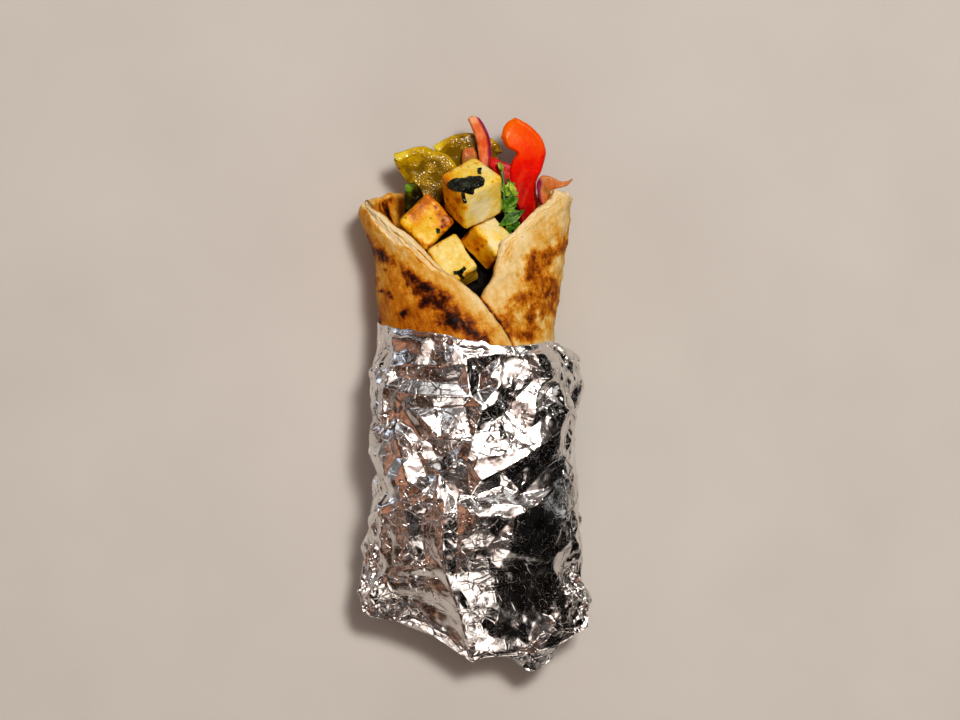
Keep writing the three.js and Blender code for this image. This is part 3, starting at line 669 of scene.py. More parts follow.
def bread():
    sheet = bread_sheet()
    tear_edges(sheet)
    brown_sheet(sheet)
    flat, bare = sheet.flat, sheet.bare
    near = np.minimum(np.minimum(sheet.reach, sheet.rim), sheet.y - BREAD_END)
    tip = TIP_THINNING * sheet.left * smoothstep(sheet.y, *TIP_THIN) * falling(sheet.reach, *TIP_REACH)
    half = BREAD_THICKNESS / 2 * (1 - tip) * rounded(near, BREAD_ROUNDING)
    points, faces = slab(sheet.middle, half, bread_relief(sheet), 0.3 * fractal(flat, 6, 57))
    # Painted shade in the lip's cracks, and a painted shadow along its fold line
    brown = sheet.brown * (1 - 0.8 * bare) + 0.9 * sheet.crack + 0.5 * sheet.fold_line
    inside_tone = INSIDE_TONE + 0.1 * fractal(flat, 5, 62) - 0.16 * bare
    inside_brown = 0.6 * smoothstep(fractal(flat, 4.5, 63), 0.25, 1) * (1 - 0.9 * bare)
    values = both_faces(
        tone=(bread_tone(sheet), inside_tone),
        brown=(brown, inside_brown),
        lip=(sheet.torn, np.full_like(sheet.torn, NO_LIP)),
        pale=lerp(LIP_TONE, FOLD_TONE, sheet.folded),
    )
    add_piece("flatbread", "bread", points, faces, bread_look(), values)


# Foil

FOIL_WALL = 0.8
FOIL_LOOSE = 0.7
FOIL_HALF_WIDTH = 36
FOIL_LEFT = profile(
    (-62, 39.4), (-46, 39.4), (-39, 40.5), (-25, 39.3), (-7.5, 35.7), (3, 34.7), (20, 36.2),
    (32, 35.8), (45, 34.5), (60, 34.8),
)
FOIL_RIGHT = profile(
    (-62, 39.8), (-46, 39.9), (-31, 38.2), (-17, 37.3), (3, 35.6), (20, 34.8), (30, 35.9),
    (37, 37.8), (46, 37.1), (52, 30.6), (60, 29.4),
)
# Half height and height of the middle, by the distance from the pinched end
FOIL_HALF_HEIGHT = profile(
    (0, 1.2), (6, 4.2), (15, 9.4), (26, 15.8), (36, 21), (46, 24.6), (56, 25.7), (115, 25.7),
)
FOIL_MIDDLE = profile((0, 25.5), (36, 24.1), (115, 24.1))
FOIL_RIM = profile(
    (0, 57), (60, 58), (90, 58.8), (135, 56.4), (180, 52.4), (205, 50.2), (235, 52.2), (258, 50.6),
    (275, 48.4), (320, 54), (360, 57),
)
FOIL_END_FRONT = profile(
    (-41, -42), (-37, -45.2), (-20, -47.8), (-10.5, -51.8), (-5.5, -55.4), (-1, -61.2), (4, -59.5),
    (17.5, -58.5), (30.5, -54.4), (41, -48.8),
)
FOIL_END_BACK = profile(
    (-41, -42), (-37, -45.2), (-20, -47.8), (-10.5, -51.8), (-1, -59.5), (11, -59.5), (19.5, -64.7),
    (26.5, -61), (30.5, -54.4), (41, -48.8),
)
# Where the front starts to rise from its flat end
FOIL_RISE = profile(
    (-41, -42), (-37, -45), (-20, -47.4), (-10.5, -51.4), (-3, -57.4), (-1, -59.4), (1, -59.6),
    (17.5, -58), (30.5, -54), (41, -48.8),
)
# The way that the fold at the end's lowest point leans as it runs up the front, and how far it runs
END_SLANT = 0.39
END_REACH = 32
# Main folds on the front: the path [x, y] of each crease and its height
FOIL_FOLDS = [
    ([(-34.1, 40.3), (-27.1, 43.3), (-18.4, 43.8), (-8.8, 43.3), (-4.4, 45.5)], 1.2),
    ([(-25.4, 39.4), (-12.3, 37.6), (-6.1, 37.6)], -1.2),
    ([(-28, 36.3), (-21, 33.7), (-12.3, 32.8), (-3.5, 32.6)], 1.6),
    ([(-23.6, 28.9), (-12.3, 28.9), (-4, 29.6)], -0.6),
    ([(-3.2, 44.4), (-1.6, 33.2)], 1.2),
    ([(1.8, 40.4), (1, 35)], -1.0),
    ([(-2.6, 46.4), (8.8, 47.7), (14, 49.6)], 0.8),
    ([(5.3, 39.4), (8.8, 37.6), (20, 39)], 0.8),
    ([(21.9, 36.8), (19.8, 27.8)], 1.6),
    ([(25.8, 36), (24.4, 33)], -1.6),
    ([(21.4, 24.9), (25.4, 30.6), (28.9, 28)], 1.4),
    ([(26.3, 21), (20.1, 14.9), (8.8, 7), (1.8, 3.5)], 2.6),
    ([(3.1, 29.8), (-0.9, 17.5), (-2.6, 10.5)], 1.8),
    ([(-18.4, 26.4), (-11.2, 17.9)], 1.8),
    ([(-26.3, 26.6), (-19.5, 19.3), (-10.6, 13.6)], -1.2),
    ([(-25.4, 17.6), (-21.9, 3.5), (-14, -2.6)], 1.2),
    ([(-19.6, 13), (-16.6, 5.3)], -0.8),
    ([(-12.3, 6.1), (-10.5, -3.5), (-10.9, -21), (-9.9, -34)], 1.2),
    ([(-6.4, -4), (-6.1, -21)], -0.4),
    ([(-1.8, -1.9), (8.8, 1.8), (16.6, -1.2)], -1.0),
    ([(1.8, -8.8), (12.3, -4.8), (19.7, -5.3)], 1.8),
    ([(13.1, -9), (11.4, -21)], 2.6),
    ([(10.4, -23.5), (7, -29.8), (2.6, -47.3)], 1.5),
    ([(-3.4, -22.4), (-7, -32)], 1.0),
    ([(-36.4, -36), (-30.6, -32.4), (-16.6, -33.3), (-9.6, -38.5), (-5.3, -49)], 1.6),
    ([(-33, -10.5), (-22.8, -6.1), (-21.9, -17.5), (-28.8, -27.8)], 1.2),
    ([(-18.4, -10.3), (-17.5, -24.8)], -1.2),
    ([(-29, 34), (-28.6, 19.5)], 1.0),
    ([(17, 50), (21, 44), (25, 39.2)], 2.4),
    ([(29.8, 47.1), (28.9, 37.6), (34, 30.9)], -1.6),
    ([(33.1, 22.8), (33.8, 5.3), (32.4, -16.6), (34.8, -26)], 1.0),
]
# The paths of the smoothest parts of the front, and how far each spreads
FOIL_CALM = [
    ([(28, 16), (27, -5), (22, -25), (16, -44)], 12),
    ([(7, 30), (9, 20), (5, 11)], 7),
    ([(7, -26), (2, -40), (1, -52)], 6),
]
# Random creases: distance between their corners, height, and the seed of their places
FOIL_CREASES = [(9, 1.1, 71), (5.5, 0.5, 72)]
FINE_CREASES = [(3.2, 0.2, 73), (1.7, 0.07, 74)]
SIDE_CRUMPLE = 0.8
SIDE_CREASES = (4.5, 1.1, 76)
ABOVE_CREASES = 9
# Random creases of the flat end
END_CREASES = [(9, 1.3, 78), (4, 0.5, 79)]
# Sharp creases in the look: spacing, width and height, size of the patches they lie in, and which
FOIL_RIDGES = [(6, 0.05, 0.6, 4, (0.42, 0.54)), (2.8, 0.07, 0.3, 5, (0.44, 0.56))]
# Shoulders beside the front, and the flat hem along the rim
SHOULDER = 3.4
HEM_FLARE = 0.5
HEM_WIDTH = 2.6
HEM_WALL = 0.4
# Where the wrap closes on the bread: by the distance from its rim, by Y, and below the bread's end
COLLAR = (-14, -3)
FOIL_GRIP = (25, 50)
FOIL_FREE = 9
# The wrap's grid: the angles that its finely divided front spans, and the lines in each part
FRONT_TURNS = (75, 285)
FRONT_LINES = 290
BEHIND_LINES = 72
FOIL_ROWS = 225
RIM_ROWS = 26
INNER_SHARES = (0.8, 0.7, 0.4, 0.16, 0)


def foil_inside(y, turn):
    """The wrap's inner face, a little off the bread."""
    return roll_point(y, turn, wrap_lift(turn) + CLEARANCE + FOIL_LOOSE * falling(y, *FOIL_GRIP))


def keep_off(points, turn, least):
    """Moves points of the wrap out from the bread, where they have to."""
    y = points[..., 1]
    inner = foil_inside(y, turn)
    outward = unit(inner - roll_point(y, turn, np.zeros_like(y)))
    wall = ((points - inner) * outward).sum(-1)
    short = np.maximum(least - wall, 0) * smoothstep(y, BREAD_END - FOIL_FREE, BREAD_END - FOIL_WALL)
    return points + outward * short[..., None]


def creases(places, spacing, rise, seed, folds=(), calm=()):
    """Heights of a sheet that is folded along the given paths, and at random off the calm ones."""
    low, high = places.reshape(-1, 2).min(0) - spacing, places.reshape(-1, 2).max(0) + spacing
    counts = np.ceil((high - low) / spacing).astype(int) + 1
    cells = np.stack(np.meshgrid(*[np.arange(n) for n in counts], indexing="ij"), -1).reshape(-1, 2)
    shift = np.stack([scatter(cells, seed), scatter(cells, seed + 100)], -1)
    corners = low + (cells + 0.48 * shift) * spacing
    heights = rise * scatter(cells, seed + 200)
    for path, width in calm:
        heights = heights * (1 - 0.9 * smoothstep(width - from_path(corners, path), 0, 5))
    edges = []
    for path, _ in folds:
        clear = from_path(corners, path) > 0.6 * spacing
        corners, heights = corners[clear], heights[clear]
    for path, height in folds:
        start = len(corners)
        corners = np.concatenate([corners, path])
        heights = np.concatenate([heights, [height] * len(path)])
        edges += [(i, i + 1) for i in range(start, len(corners) - 1)]
    found = delaunay_2d_cdt([Vector(c) for c in corners], edges, [], 0, 1e-6)
    lifted = [np.mean(heights[origin]) if origin else 0 for origin in found[3]]
    tree = BVHTree.FromPolygons([(*c, h) for c, h in zip(found[0], lifted)], found[2])
    return drop(tree, places, ABOVE_CREASES)


def unrolled(path):
    """A path on the front by [distance round the wrap, y] instead of [x, y]."""
    x, y = np.array(path, float).T
    reach = np.where(x < 0, FOIL_LEFT(y), FOIL_RIGHT(y))
    turn = np.pi + np.arcsin(np.clip(x / reach, -0.97, 0.97))
    return np.stack([turn * FOIL_HALF_WIDTH, y], -1)


def foil_look():
    look = Look("foil", Metallic=1.0)
    look.set("Base Color", look.ramp(look.noise(9), (0.3, "#dedad6"), (0.7, "#f4f3f2")))
    look.gloss(5, 0.13, 0.23, 4)
    crumpled = look.span(look.noise(7, 2), 0.42, 0.6, 0.1, 0.5)
    height = look.total(look.facets(2.6), look.times(look.facets(1.1), crumpled))
    for spacing, width, rise, patches, chosen in FOIL_RIDGES:
        edge = look.cells(spacing, "DISTANCE_TO_EDGE")["Distance"]
        ridge = look.span(edge, 0, width, rise, 0)
        height = look.total(height, look.times(ridge, look.span(look.noise(patches, 1), *chosen)))
    worn = look.times(look.span(look.noise(13, 2), 0.4, 0.62, 0.25, 1), look.value("rough"))
    bent = look.bump(look.noise(8, 0), 0.45)
    look.bump(look.times(height, worn), 0.26, 1, bent)
    return look.material


def foil_shape():
    """The wrap before it is crumpled: each point's angle, place, way out and half height."""
    first, last = FRONT_TURNS
    behind = np.linspace(last, first + 360, BEHIND_LINES)[1:-1]
    turns = np.concatenate([np.linspace(first, last, FRONT_LINES), behind]) * DEGREE
    turn, share = np.meshgrid(turns, np.linspace(0, 1, FOIL_ROWS))
    sine, cosine = np.sin(turn), np.cos(turn)
    front = smoothstep(-cosine, -0.2, 0.2)
    angle = turn % (2 * np.pi)
    round_wrap = turn * FOIL_HALF_WIDTH
    rim = FOIL_RIM(angle / DEGREE) + 0.4 * fractal(np.stack([round_wrap, turn * 0], -1), 4, 81)
    x = -FOIL_HALF_WIDTH * sine
    # The sides depend on Y, and Y on the end's outline, so two rounds settle both
    for _ in range(2):
        end = lerp(FOIL_END_BACK(x), FOIL_END_FRONT(x), front)
        y = lerp(end, rim, share)
        x = -sine * np.where(sine > 0, FOIL_LEFT(y), FOIL_RIGHT(y))
    slanted = np.where(x > 1, x, np.minimum(x + END_SLANT * np.minimum(y - end, END_REACH), 1))
    depth = y - lerp(FOIL_END_BACK(x), FOIL_RISE(slanted), front)
    half = FOIL_HALF_HEIGHT(np.maximum(depth, 0))
    spots = np.stack([x, y], -1)
    calm_path, calm_width = FOIL_CALM[0]
    return SimpleNamespace(
        angle=angle, y=y, rim=rim, half=half, front=front, across=np.abs(sine),
        centre=np.stack([x, y, FOIL_MIDDLE(y - end) - half * cosine], -1),
        outward=unit(np.stack([-sine * half, 0 * sine, -cosine * FOIL_HALF_WIDTH], -1)),
        flat=np.stack([round_wrap, y], -1), spots=spots,
        side=smoothstep(np.abs(sine), 0.72, 0.9), collar=smoothstep(y - rim, *COLLAR),
        rough=1 - 0.7 * front * smoothstep(calm_width - from_path(spots, calm_path), 0, 6),
    )


def foil_relief(wrap):
    """Heights of the crumpled outer face, with its shoulders and the flat hem at its rim."""
    flat, side, rough = wrap.flat, wrap.side, wrap.rough
    calm = [(unrolled(path), width) for path, width in FOIL_CALM]
    folds = [(unrolled(path), height) for path, height in FOIL_FOLDS]
    broad, middling = FOIL_CREASES
    relief = creases(flat, *broad, folds, calm) + rough * creases(flat, *middling)
    crinkled = smoothstep(fractal(flat, 15, 75), -0.5, 0.5) * rough
    relief += (0.2 + crinkled + side) * sum(creases(flat, *fine) for fine in FINE_CREASES)
    relief = relief * (1 + SIDE_CRUMPLE * side * rough) + side * rough * creases(flat, *SIDE_CREASES)
    shoulder = wrap.front * smoothstep(wrap.across, 0.3, 0.85) * falling(wrap.across, 0.87, 1)
    shoulder *= smoothstep(wrap.half, 12, 24) * (1 - 0.35 * smoothstep(wrap.y, 28, 44))
    relief += SHOULDER * shoulder
    hem = smoothstep(wrap.y - wrap.rim, -HEM_WIDTH - 0.5, -HEM_WIDTH + 0.5) * (1 - side)
    relief = relief * (1 - 0.7 * hem) + HEM_FLARE * hem
    return relief - 0.8 * wrap.collar * side


def foil():
    wrap = foil_shape()
    wall = FOIL_WALL * lerp(1, HEM_WALL, wrap.collar)
    relief = smoothstep(wrap.half, 1, 6) * foil_relief(wrap)
    outer = keep_off(wrap.centre, wrap.angle, wall + 0.9 * (1 - wrap.collar))
    outer = keep_off(outer + wrap.outward * relief[..., None], wrap.angle, wall)
    end_relief = sum(creases(wrap.spots, *each) for each in END_CREASES)
    outer[..., 2] += end_relief * falling(wrap.half, 3, 11)
    outer[..., 2] = np.maximum(outer[..., 2], 0)
    inside_rim = (outer - wall[..., None] * wrap.outward)[-1:-RIM_ROWS:-2]
    inner_y = lerp(BREAD_END - CLEARANCE, wrap.rim[:1], np.array(INNER_SHARES)[:, None])
    inner_turn = np.repeat(wrap.angle[:1], len(INNER_SHARES), 0)
    rings = np.concatenate([outer, inside_rim, foil_inside(inner_y, inner_turn)])
    hidden = np.ones((len(rings) - len(outer), rings.shape[1]))
    rough = np.concatenate([wrap.rough + wrap.side * (1 + 1.5 * wrap.collar), hidden])
    values = {"rough": rough}
    add_piece("foil_wrap", "foil", rings.reshape(-1, 3), tube(rings), foil_look(), values)


# Paneer

PANEER_ROUNDING = 1.3
PANEER_UNEVEN = 0.8
PANEER_CUTS = 40
# How sharply the browning of one face gives way to the next one's
FACE_SHARPNESS = 9
ABOVE_ROLL = 90
HERB_LEAST = 30
HERB_LIFT = 0.2
HERB_THICKNESS = 0.9
HERB_ROUNDING = (0.25, 0.12)
HERB_GRID = (40, 28)
# Each cube's middle, size, the ways two of its faces look, seed, the browning of its faces, and
# spots where that changes or where shade is painted on: [x, y], radius and change
PANEER = {
    "paneer_top": {
        "centre": (-1.3, 104, 38), "size": (15, 17.4, 16.2),
        "first": (0.607, -0.49, 0.624), "second": (-0.046, 0.763, 0.645),
        "seed": 1, "tones": (0.11, 0.5, 0.2, 0.5, 0.38, 0.5), "rounding": 2.1,
        "spots": [
            ((1.6, 98.6), 4.2, -0.08), ((4.5, 95.6), 3, -0.04), ((8, 102.5), 2.6, 0.16),
            ((8.4, 107), 2.4, 0.08), ((-10.2, 109.6), 3, 0.26), ((-9.4, 105), 3, 0.1),
            ((3.4, 111.4), 3.4, -0.08), ((-3.2, 112.4), 2.6, -0.06), ((-5.8, 101.2), 1.3, 0.3),
            ((-7.4, 98.2), 1.6, 0.2), ((-3.4, 98.4), 1.2, 0.25), ((-4.8, 95.2), 1.3, 0.2),
            ((-9.9, 101.6), 0.7, 0.4), ((-9, 99.4), 0.6, 0.4), ((0.7, 114.6), 0.6, 0.4),
            ((4.4, 113.6), 0.5, 0.35), ((8.5, 110.4), 0.5, 0.35), ((6.1, 107.7), 0.4, 0.35),
            ((-8.4, 111.9), 0.7, 0.3), ((-5, 113.6), 0.6, 0.25),
        ],
    },
    "paneer_left": {
        "centre": (-17.3, 94, 31.5), "size": (14, 14, 13),
        "first": (0.72, 0.69, -0.05), "second": (-0.69, 0.72, 0.08),
        "seed": 2, "tones": (0.6, 0.5, 0.5, 0.5, 0.39, 0.5), "fried": 0.2,
        "spots": [
            ((-16.6, 101.6), 2.6, 0.2), ((-18.6, 98.6), 2.2, 0.16), ((-12.2, 96.4), 1.8, 0.24),
            ((-13.6, 99.2), 0.7, 0.45), ((-11.2, 94.2), 0.7, 0.45), ((-11.6, 92.2), 0.6, 0.45),
            ((-10.4, 92.8), 0.6, 0.4), ((-24.2, 94.6), 1.6, -0.16), ((-20.6, 89.8), 3, -0.08),
            ((-16.4, 88.2), 2.6, -0.1), ((-22, 96.4), 1.4, 0.16), ((-17.4, 93.4), 3.4, -0.1),
            # The spot at (-11.4, 92.5) is painted shade on the cube's right side
            ((-11.4, 92.5), 3.2, 0.06), ((-21, 94.4), 2.4, 0.08),
        ],
    },
    "paneer_low": {
        "centre": (-7.9, 79.8, 30), "size": (12, 15.4, 13),
        "first": (0.86, 0.51, -0.02), "second": (-0.5, 0.84, -0.2),
        "seed": 3, "tones": (0.3, 0.4, 0.28, 0.3, 0.16, 0.5),
    },
    "paneer_right": {
        "centre": (4.7, 87.3, 28.8), "size": (12, 11, 14),
        "first": (0.36, 0.42, 0.83), "second": (-0.66, -0.52, 0.56),
        "seed": 4, "tones": (0.05, 0.5, 0.34, 0.5, 0.3, 0.5), "fried": 0.2,
        "spots": [
            ((0.2, 86.6), 2.2, 0.22), ((3.4, 88.4), 1.6, 0.16), ((2.6, 85.6), 0.6, 0.4),
            ((1, 84.4), 0.5, 0.4), ((6.6, 78.6), 2.6, 0.24), ((3.6, 80.4), 2, 0.1),
            ((8.4, 76.4), 1.6, 0.3), ((5.4, 85.6), 2.6, -0.12), ((8.4, 89), 2.4, 0.1),
        ],
    },
}
# Dark leaves on the cubes: their two edges by [x, y]
HERBS = {
    "paneer_top": [
        (
            [(-9.6, 106.3), (-8.6, 105), (-7, 104.3), (-4.9, 103.8), (-2.4, 103.2), (-0.7, 103),
             (0, 104.8), (1.4, 105.4), (3, 106.4), (3.5, 107.9)],
            [(-9.6, 106.6), (-9.1, 107.8), (-7, 108.9), (-3.9, 109.1), (-1.8, 109.7), (0, 109.7),
             (2.1, 109.6), (3.5, 108.3)],
        ),
        ([(-4.6, 103.6), (-4.4, 102), (-3.9, 100.2)], [(-3.4, 103.4), (-3.2, 102), (-2.8, 100.3)]),
        ([(0.8, 112.6), (0.9, 111.4), (1, 110.4)], [(2.4, 112.7), (2.2, 111.6), (2.2, 110.4)]),
    ],
    "paneer_left": [
        ([(-13.6, 91.6), (-13.6, 90.7), (-13.4, 90)], [(-12.3, 91.6), (-12.2, 90.7), (-12.4, 89.9)]),
    ],
    "paneer_low": [
        ([(-7.6, 76.4), (-6, 76.8), (-4.5, 77.6), (-3.9, 78.5)],
         [(-7.2, 75.6), (-5.4, 75.2), (-3.6, 76.5), (-2.9, 77.6)]),
        ([(-6, 76.1), (-5.8, 75.1), (-4.6, 74.1)], [(-4.9, 76.3), (-4.7, 75.5), (-3.7, 74.5)]),
    ],
}


def cad_scatter(i, j, seed):
    """The CAD part's own fixed number from -1 to 1."""
    wave = math.sin(i * 127.1 + j * 311.7 + seed * 74.7) * 43758.5453
    return 2 * (wave - math.floor(wave)) - 1


def axes_from(first, second):
    """Three square axes as columns: along first, near second, and square to both."""
    right = unit(np.array(first, float))
    up = np.array(second, float)
    up = unit(up - right * (up @ right))
    return np.stack([right, up, np.cross(right, up)], 1)


def paneer_look():
    look = Look("paneer", Specular_IOR_Level=0.22)
    look.flesh(0.2, 2, (1.0, 0.7, 0.3))
    fine = look.noise(0.9, 4)
    fried = look.total(look.value("edge"), look.vary(look.noise(2.4, 4, 0.6), 0.3), look.vary(fine, 0.1))
    tone = look.total(
        look.value("tone"), look.vary(fine, 0.05), look.vary(look.noise(3.6, 4), 0.09),
        look.span(fried, 0.62, 1.15, 0, 0.4),
    )
    base = look.ramp(
        tone,
        (0.0, "#fdeeb8"), (0.15, "#fbe07a"), (0.3, "#f6c420"), (0.46, "#e89c0c"),
        (0.64, "#bc640a"), (0.82, "#743008"), (1.0, "#2a1006"),
    )
    speck = look.specks(2.2, (0.05, 0.24), (0.7, 0.95))
    look.set("Base Color", look.blend(look.times(speck, 0.85), base, "#4a1c08"))
    look.set("Roughness", look.span(look.noise(2.5), 0.35, 0.65, 0.2, 0.45))
    look.bump(look.total(look.noise(0.6), look.times(fine, 1.4)), 0.08, 0.8)
    return look.material


def herb_look():
    look = Look("fried_herb", Specular_IOR_Level=0.25)
    ridge = look.off_half(look.noise(2.2, 2, 0.5, 0.9))
    # Lighter lines along the wrinkles are painted highlights in the base colour
    painted_glint = look.times(look.span(ridge, 0, 0.1, 1, 0), look.span(look.noise(2.4, 2), 0.42, 0.58))
    base = look.ramp(look.noise(1.6), (0.42, "#010201"), (0.6, "#040603"), (0.75, "#0f1708"))
    look.set("Base Color", look.blend(look.times(painted_glint, 0.4), base, "#6f7c58"))
    look.gloss(0.9, 0.1, 0.3)
    look.bump(look.times(ridge, -4), 0.6)
    return look.material


def divided_cube():
    """Points of a finely divided cube of side 1 round the origin, and its faces."""
    block = bmesh.new()
    bmesh.ops.create_cube(block, size=1)
    bmesh.ops.subdivide_edges(block, edges=block.edges[:], cuts=PANEER_CUTS, use_grid_fill=True)
    block.verts.index_update()
    points = np.array([tuple(v.co) for v in block.verts])
    faces = [np.array([v.index for v in f.verts]) for f in block.faces]
    block.free()
    return points, faces


def paneer(name, spec, look, leaf):
    size = np.array(spec["size"], float)
    centre = np.array(spec["centre"])
    points, faces = divided_cube()
    local = points * size
    rounding = spec.get("rounding", PANEER_ROUNDING)
    core = np.clip(local, rounding - size / 2, size / 2 - rounding)
    local = core + rounding * unit(local - core)
    shift = np.zeros_like(local)
    for corner in range(8):
        signs = np.array([1 if corner & bit else -1 for bit in (1, 2, 4)])
        weight = np.prod(0.5 + signs * local / size, -1, keepdims=True)
        shift += weight * PANEER_UNEVEN * [cad_scatter(corner, k, spec["seed"]) for k in range(3)]
    outward = unit((local / size) ** 7)
    seed = 100 * spec["seed"]
    dents = 0.3 * fractal(local, 6, seed) + 0.07 * fractal(local, 1.6, seed + 5)
    axes = axes_from(spec["first"], spec["second"])
    points = centre + (local + shift + outward * dents[:, None]) @ axes.T

    reach = np.abs(local / size) * 2
    weights = [np.where(way * local > 0, reach, 0) ** FACE_SHARPNESS for way in (1, -1)]
    weights = np.stack(weights, -1).reshape(-1, 6)
    tone = (weights @ np.array(spec["tones"])) / weights.sum(-1) + 0.06 * fractal(local, 6, seed + 13)
    above = points[:, 2] > centre[2]
    for spot, radius, change in spec.get("spots", []):
        tone += above * change * bell(np.linalg.norm(points[:, :2] - spot, axis=-1), radius)
    edge = np.sort(reach, -1)[:, 1]
    edge = smoothstep(edge, 0.55, 1.05) * (0.55 + 0.6 * lumps(local, 5, seed + 11))
    edge += spec.get("fried", 0) * smoothstep(fractal(local, 6, seed + 15), 0, 0.8)
    values = {"tone": tone, "edge": edge}
    piece = add_piece(name + "_cube", name, points, faces, look, values)
    tree = BVHTree.FromPolygons(points.tolist(), [f.tolist() for f in faces])
    for left, right in HERBS.get(name, []):
        drape(piece, tree, left, right, leaf)


def drape(piece, tree, left, right, look):
    """Joins a wrinkled leaf, laid on a cube from above, to that cube."""
    rows, columns = HERB_GRID
    v, u = np.meshgrid(np.linspace(0, 1, rows), np.linspace(0, 1, columns), indexing="ij")
    flat = lerp(spline(left, v), spline(right, v), u[..., None])
    flat = flat + 0.15 * np.stack([lumps(flat, 0.9, 301), lumps(flat, 0.9, 302)], -1)
    height = drop(tree, flat, ABOVE_ROLL, HERB_LEAST) + HERB_LIFT
    near = thinned(u, v, *HERB_ROUNDING)
    wrinkle = 0.9 * np.abs(fractal(flat, 2.0, 303)) + 0.3 * lumps(flat, 0.7, 304)
    middle = np.concatenate([flat, height[..., None]], -1)
    points, faces = slab(middle, HERB_THICKNESS / 2 * near, wrinkle * near)
    mesh = piece.data
    block = bmesh.new()
    block.from_mesh(mesh)
    made = [block.verts.new(p * MM) for p in points]
    for face in faces:
        block.faces.new([made[i] for i in face]).material_index = 1
    loose = [v for v in made if not v.link_faces]
    bmesh.ops.delete(block, geom=loose, context="VERTS")
    block.to_mesh(mesh)
    block.free()
    mesh.shade_smooth()
    if len(mesh.materials) < 2:
        mesh.materials.append(look)


# Slices

# Strength and size of large and small bumps
GREEN_BUMPS = (0.1, 4, 0.03, 1.2)
ONION_BUMPS = (0.1, 3, 0.04, 1)
RED_BUMPS = (0.1, 5, 0.02, 1)


@dataclass
class Slice:
    """A flat piece between two edges, by [x, y] from the mouth inwards. u runs across it, v along."""

    left: list
    right: list
    height: Callable
    thickness: float
    bumps: tuple = (0.3, 2.0, 0.1, 0.8)
    rounding: float = 0.2
    bulge: tuple = (0, 0)
    light: float = 0.5
    purple: Callable = lambda u, v: 0 * u
    dull: Callable = lambda u, v: 0 * u
    place: Callable = lambda v: v


SLICES = {
    "green_pepper_left": Slice(
        left=[(-28.6, 116.3), (-27.6, 113.5), (-26.2, 111.4), (-23.8, 108.2), (-21.7, 104.7),
              (-18.1, 101.2), (-13.2, 99.6)],
        right=[(-28.3, 117), (-24.8, 119), (-20.8, 120.7), (-17.5, 121), (-14.3, 119.7),
               (-9.6, 118), (-6.1, 113.8)],
        height=lambda u, v: 24 - 5 * v + 2 * u * u,
        thickness=3.6,
        bumps=GREEN_BUMPS,
    ),
    "green_pepper_back": Slice(
        left=[(-14.4, 119.9), (-13.3, 115.2), (-10.2, 112.2), (-4.1, 109.6), (1, 110.1),
              (5.1, 113.2), (7.3, 117.6)],
        right=[(-14.2, 120.5), (-10.7, 123.9), (-6.8, 125.8), (-1.9, 126.4), (3, 125.6),
               (7.8, 122.9), (8.3, 119.7)],
        height=lambda u, v: 12.5 + 3 * u + 1.5 * (2 * v - 1) ** 2,
        thickness=3.4,
        light=0.1,
        bumps=GREEN_BUMPS,
    ),
    "green_chilli": Slice(
        left=[(-23.8, 107.7), (-24.9, 103.6), (-25.1, 99.6), (-24.3, 95.5)],
        right=[(-22.3, 108.1), (-19, 105.3), (-18.2, 100.6), (-18.2, 95.5)],
        height=lambda u, v: 27 - 5.5 * v - (2 * u - 1) ** 2,
        thickness=3,
    ),
    "onion_upright": Slice(
        left=[(-2.5, 130.9), (-1.2, 127.7), (0, 124.8), (0.7, 122.3), (1.3, 118.2), (2, 111.9),
              (3, 104.8)],
        right=[(1.5, 131.3), (3.2, 128.7), (4.8, 125.4), (5.5, 122.6), (5.8, 119.4),
               (6.6, 112.9), (7.1, 105.8)],
        height=lambda u, v: 23 - 2.5 * v - 1.6 * u,
        thickness=2.6,
        bumps=ONION_BUMPS,
        purple=lambda u, v: smoothstep(u, 0.5, 0.85) + 0.4 * smoothstep(v, 0.5, 0.8),
        bulge=(-0.4, 0.9),
    ),
    "onion_back": Slice(
        left=[(-4.1, 120.7), (-4.7, 117.6), (-4.5, 114), (-4.1, 110)],
        right=[(-0.5, 121.1), (0.8, 118.1), (1, 114), (0.6, 110)],
        height=lambda u, v: 18.8 - 0.8 * v,
        thickness=1.8,
        bumps=ONION_BUMPS,
        dull=lambda u, v: 0.5 + 0.5 * smoothstep(v, 0.2, 0.45),
    ),
    "onion_right": Slice(
        left=[(34.3, 109.4), (30.9, 108.4), (26.2, 110.3), (23.3, 110.3), (21.8, 107.6),
              (22.2, 103.4), (23.3, 99.8), (24, 97)],
        right=[(34.1, 108.8), (32.4, 106.9), (28.7, 105.9), (27, 105.3), (26.1, 103.7),
               (25.7, 101.9), (25.6, 99.8), (26.4, 97)],
        height=lambda u, v: 31 - 3 * v,
        thickness=2.4,
        bumps=ONION_BUMPS,
        purple=lambda u, v: 1.1 * smoothstep(1 - u, 0.5, 0.8) * smoothstep(v, 0.4, 0.55),
        dull=lambda u, v: 0.45 + 0.55 * bell(u - 0.75, 0.25) * bell(v - 0.52, 0.07),
    ),
    "red_pepper": Slice(
        left=[(9.6, 124.6), (11.1, 120.9), (13, 119.7), (14.7, 118.5), (13.1, 115.6),
              (12.1, 112.5), (12, 109), (12.9, 105.4), (14, 101.6), (15.6, 96.8), (15.7, 88.5)],
        right=[(14.2, 131.1), (18.7, 128.9), (23.2, 124.5), (25, 119.7), (24.7, 116.8),
               (23.5, 112.5), (21.7, 108.2), (21.9, 100.5), (20.7, 95.6), (19.7, 88.5)],
        height=lambda u, v: 26 - 5 * v + 0.5 * (2 * u - 1) ** 2,
        thickness=3.6,
        bumps=RED_BUMPS,
        rounding=0.1,
        bulge=(-1.3, 0.8),
    ),
}
PEPPER_ARM = Slice(
    left=[(4.8, 114.6), (8, 110.4), (11.5, 106.4), (15.2, 104.2)],
    right=[(5.4, 117.7), (8.1, 116.5), (12.3, 114.9), (17.2, 113.8)],
    height=lambda u, v: 24.2 - 1.6 * v,
    thickness=3,
    bumps=RED_BUMPS,
    rounding=0.1,
    place=lambda v: 0.62 + 0.2 * v,
)
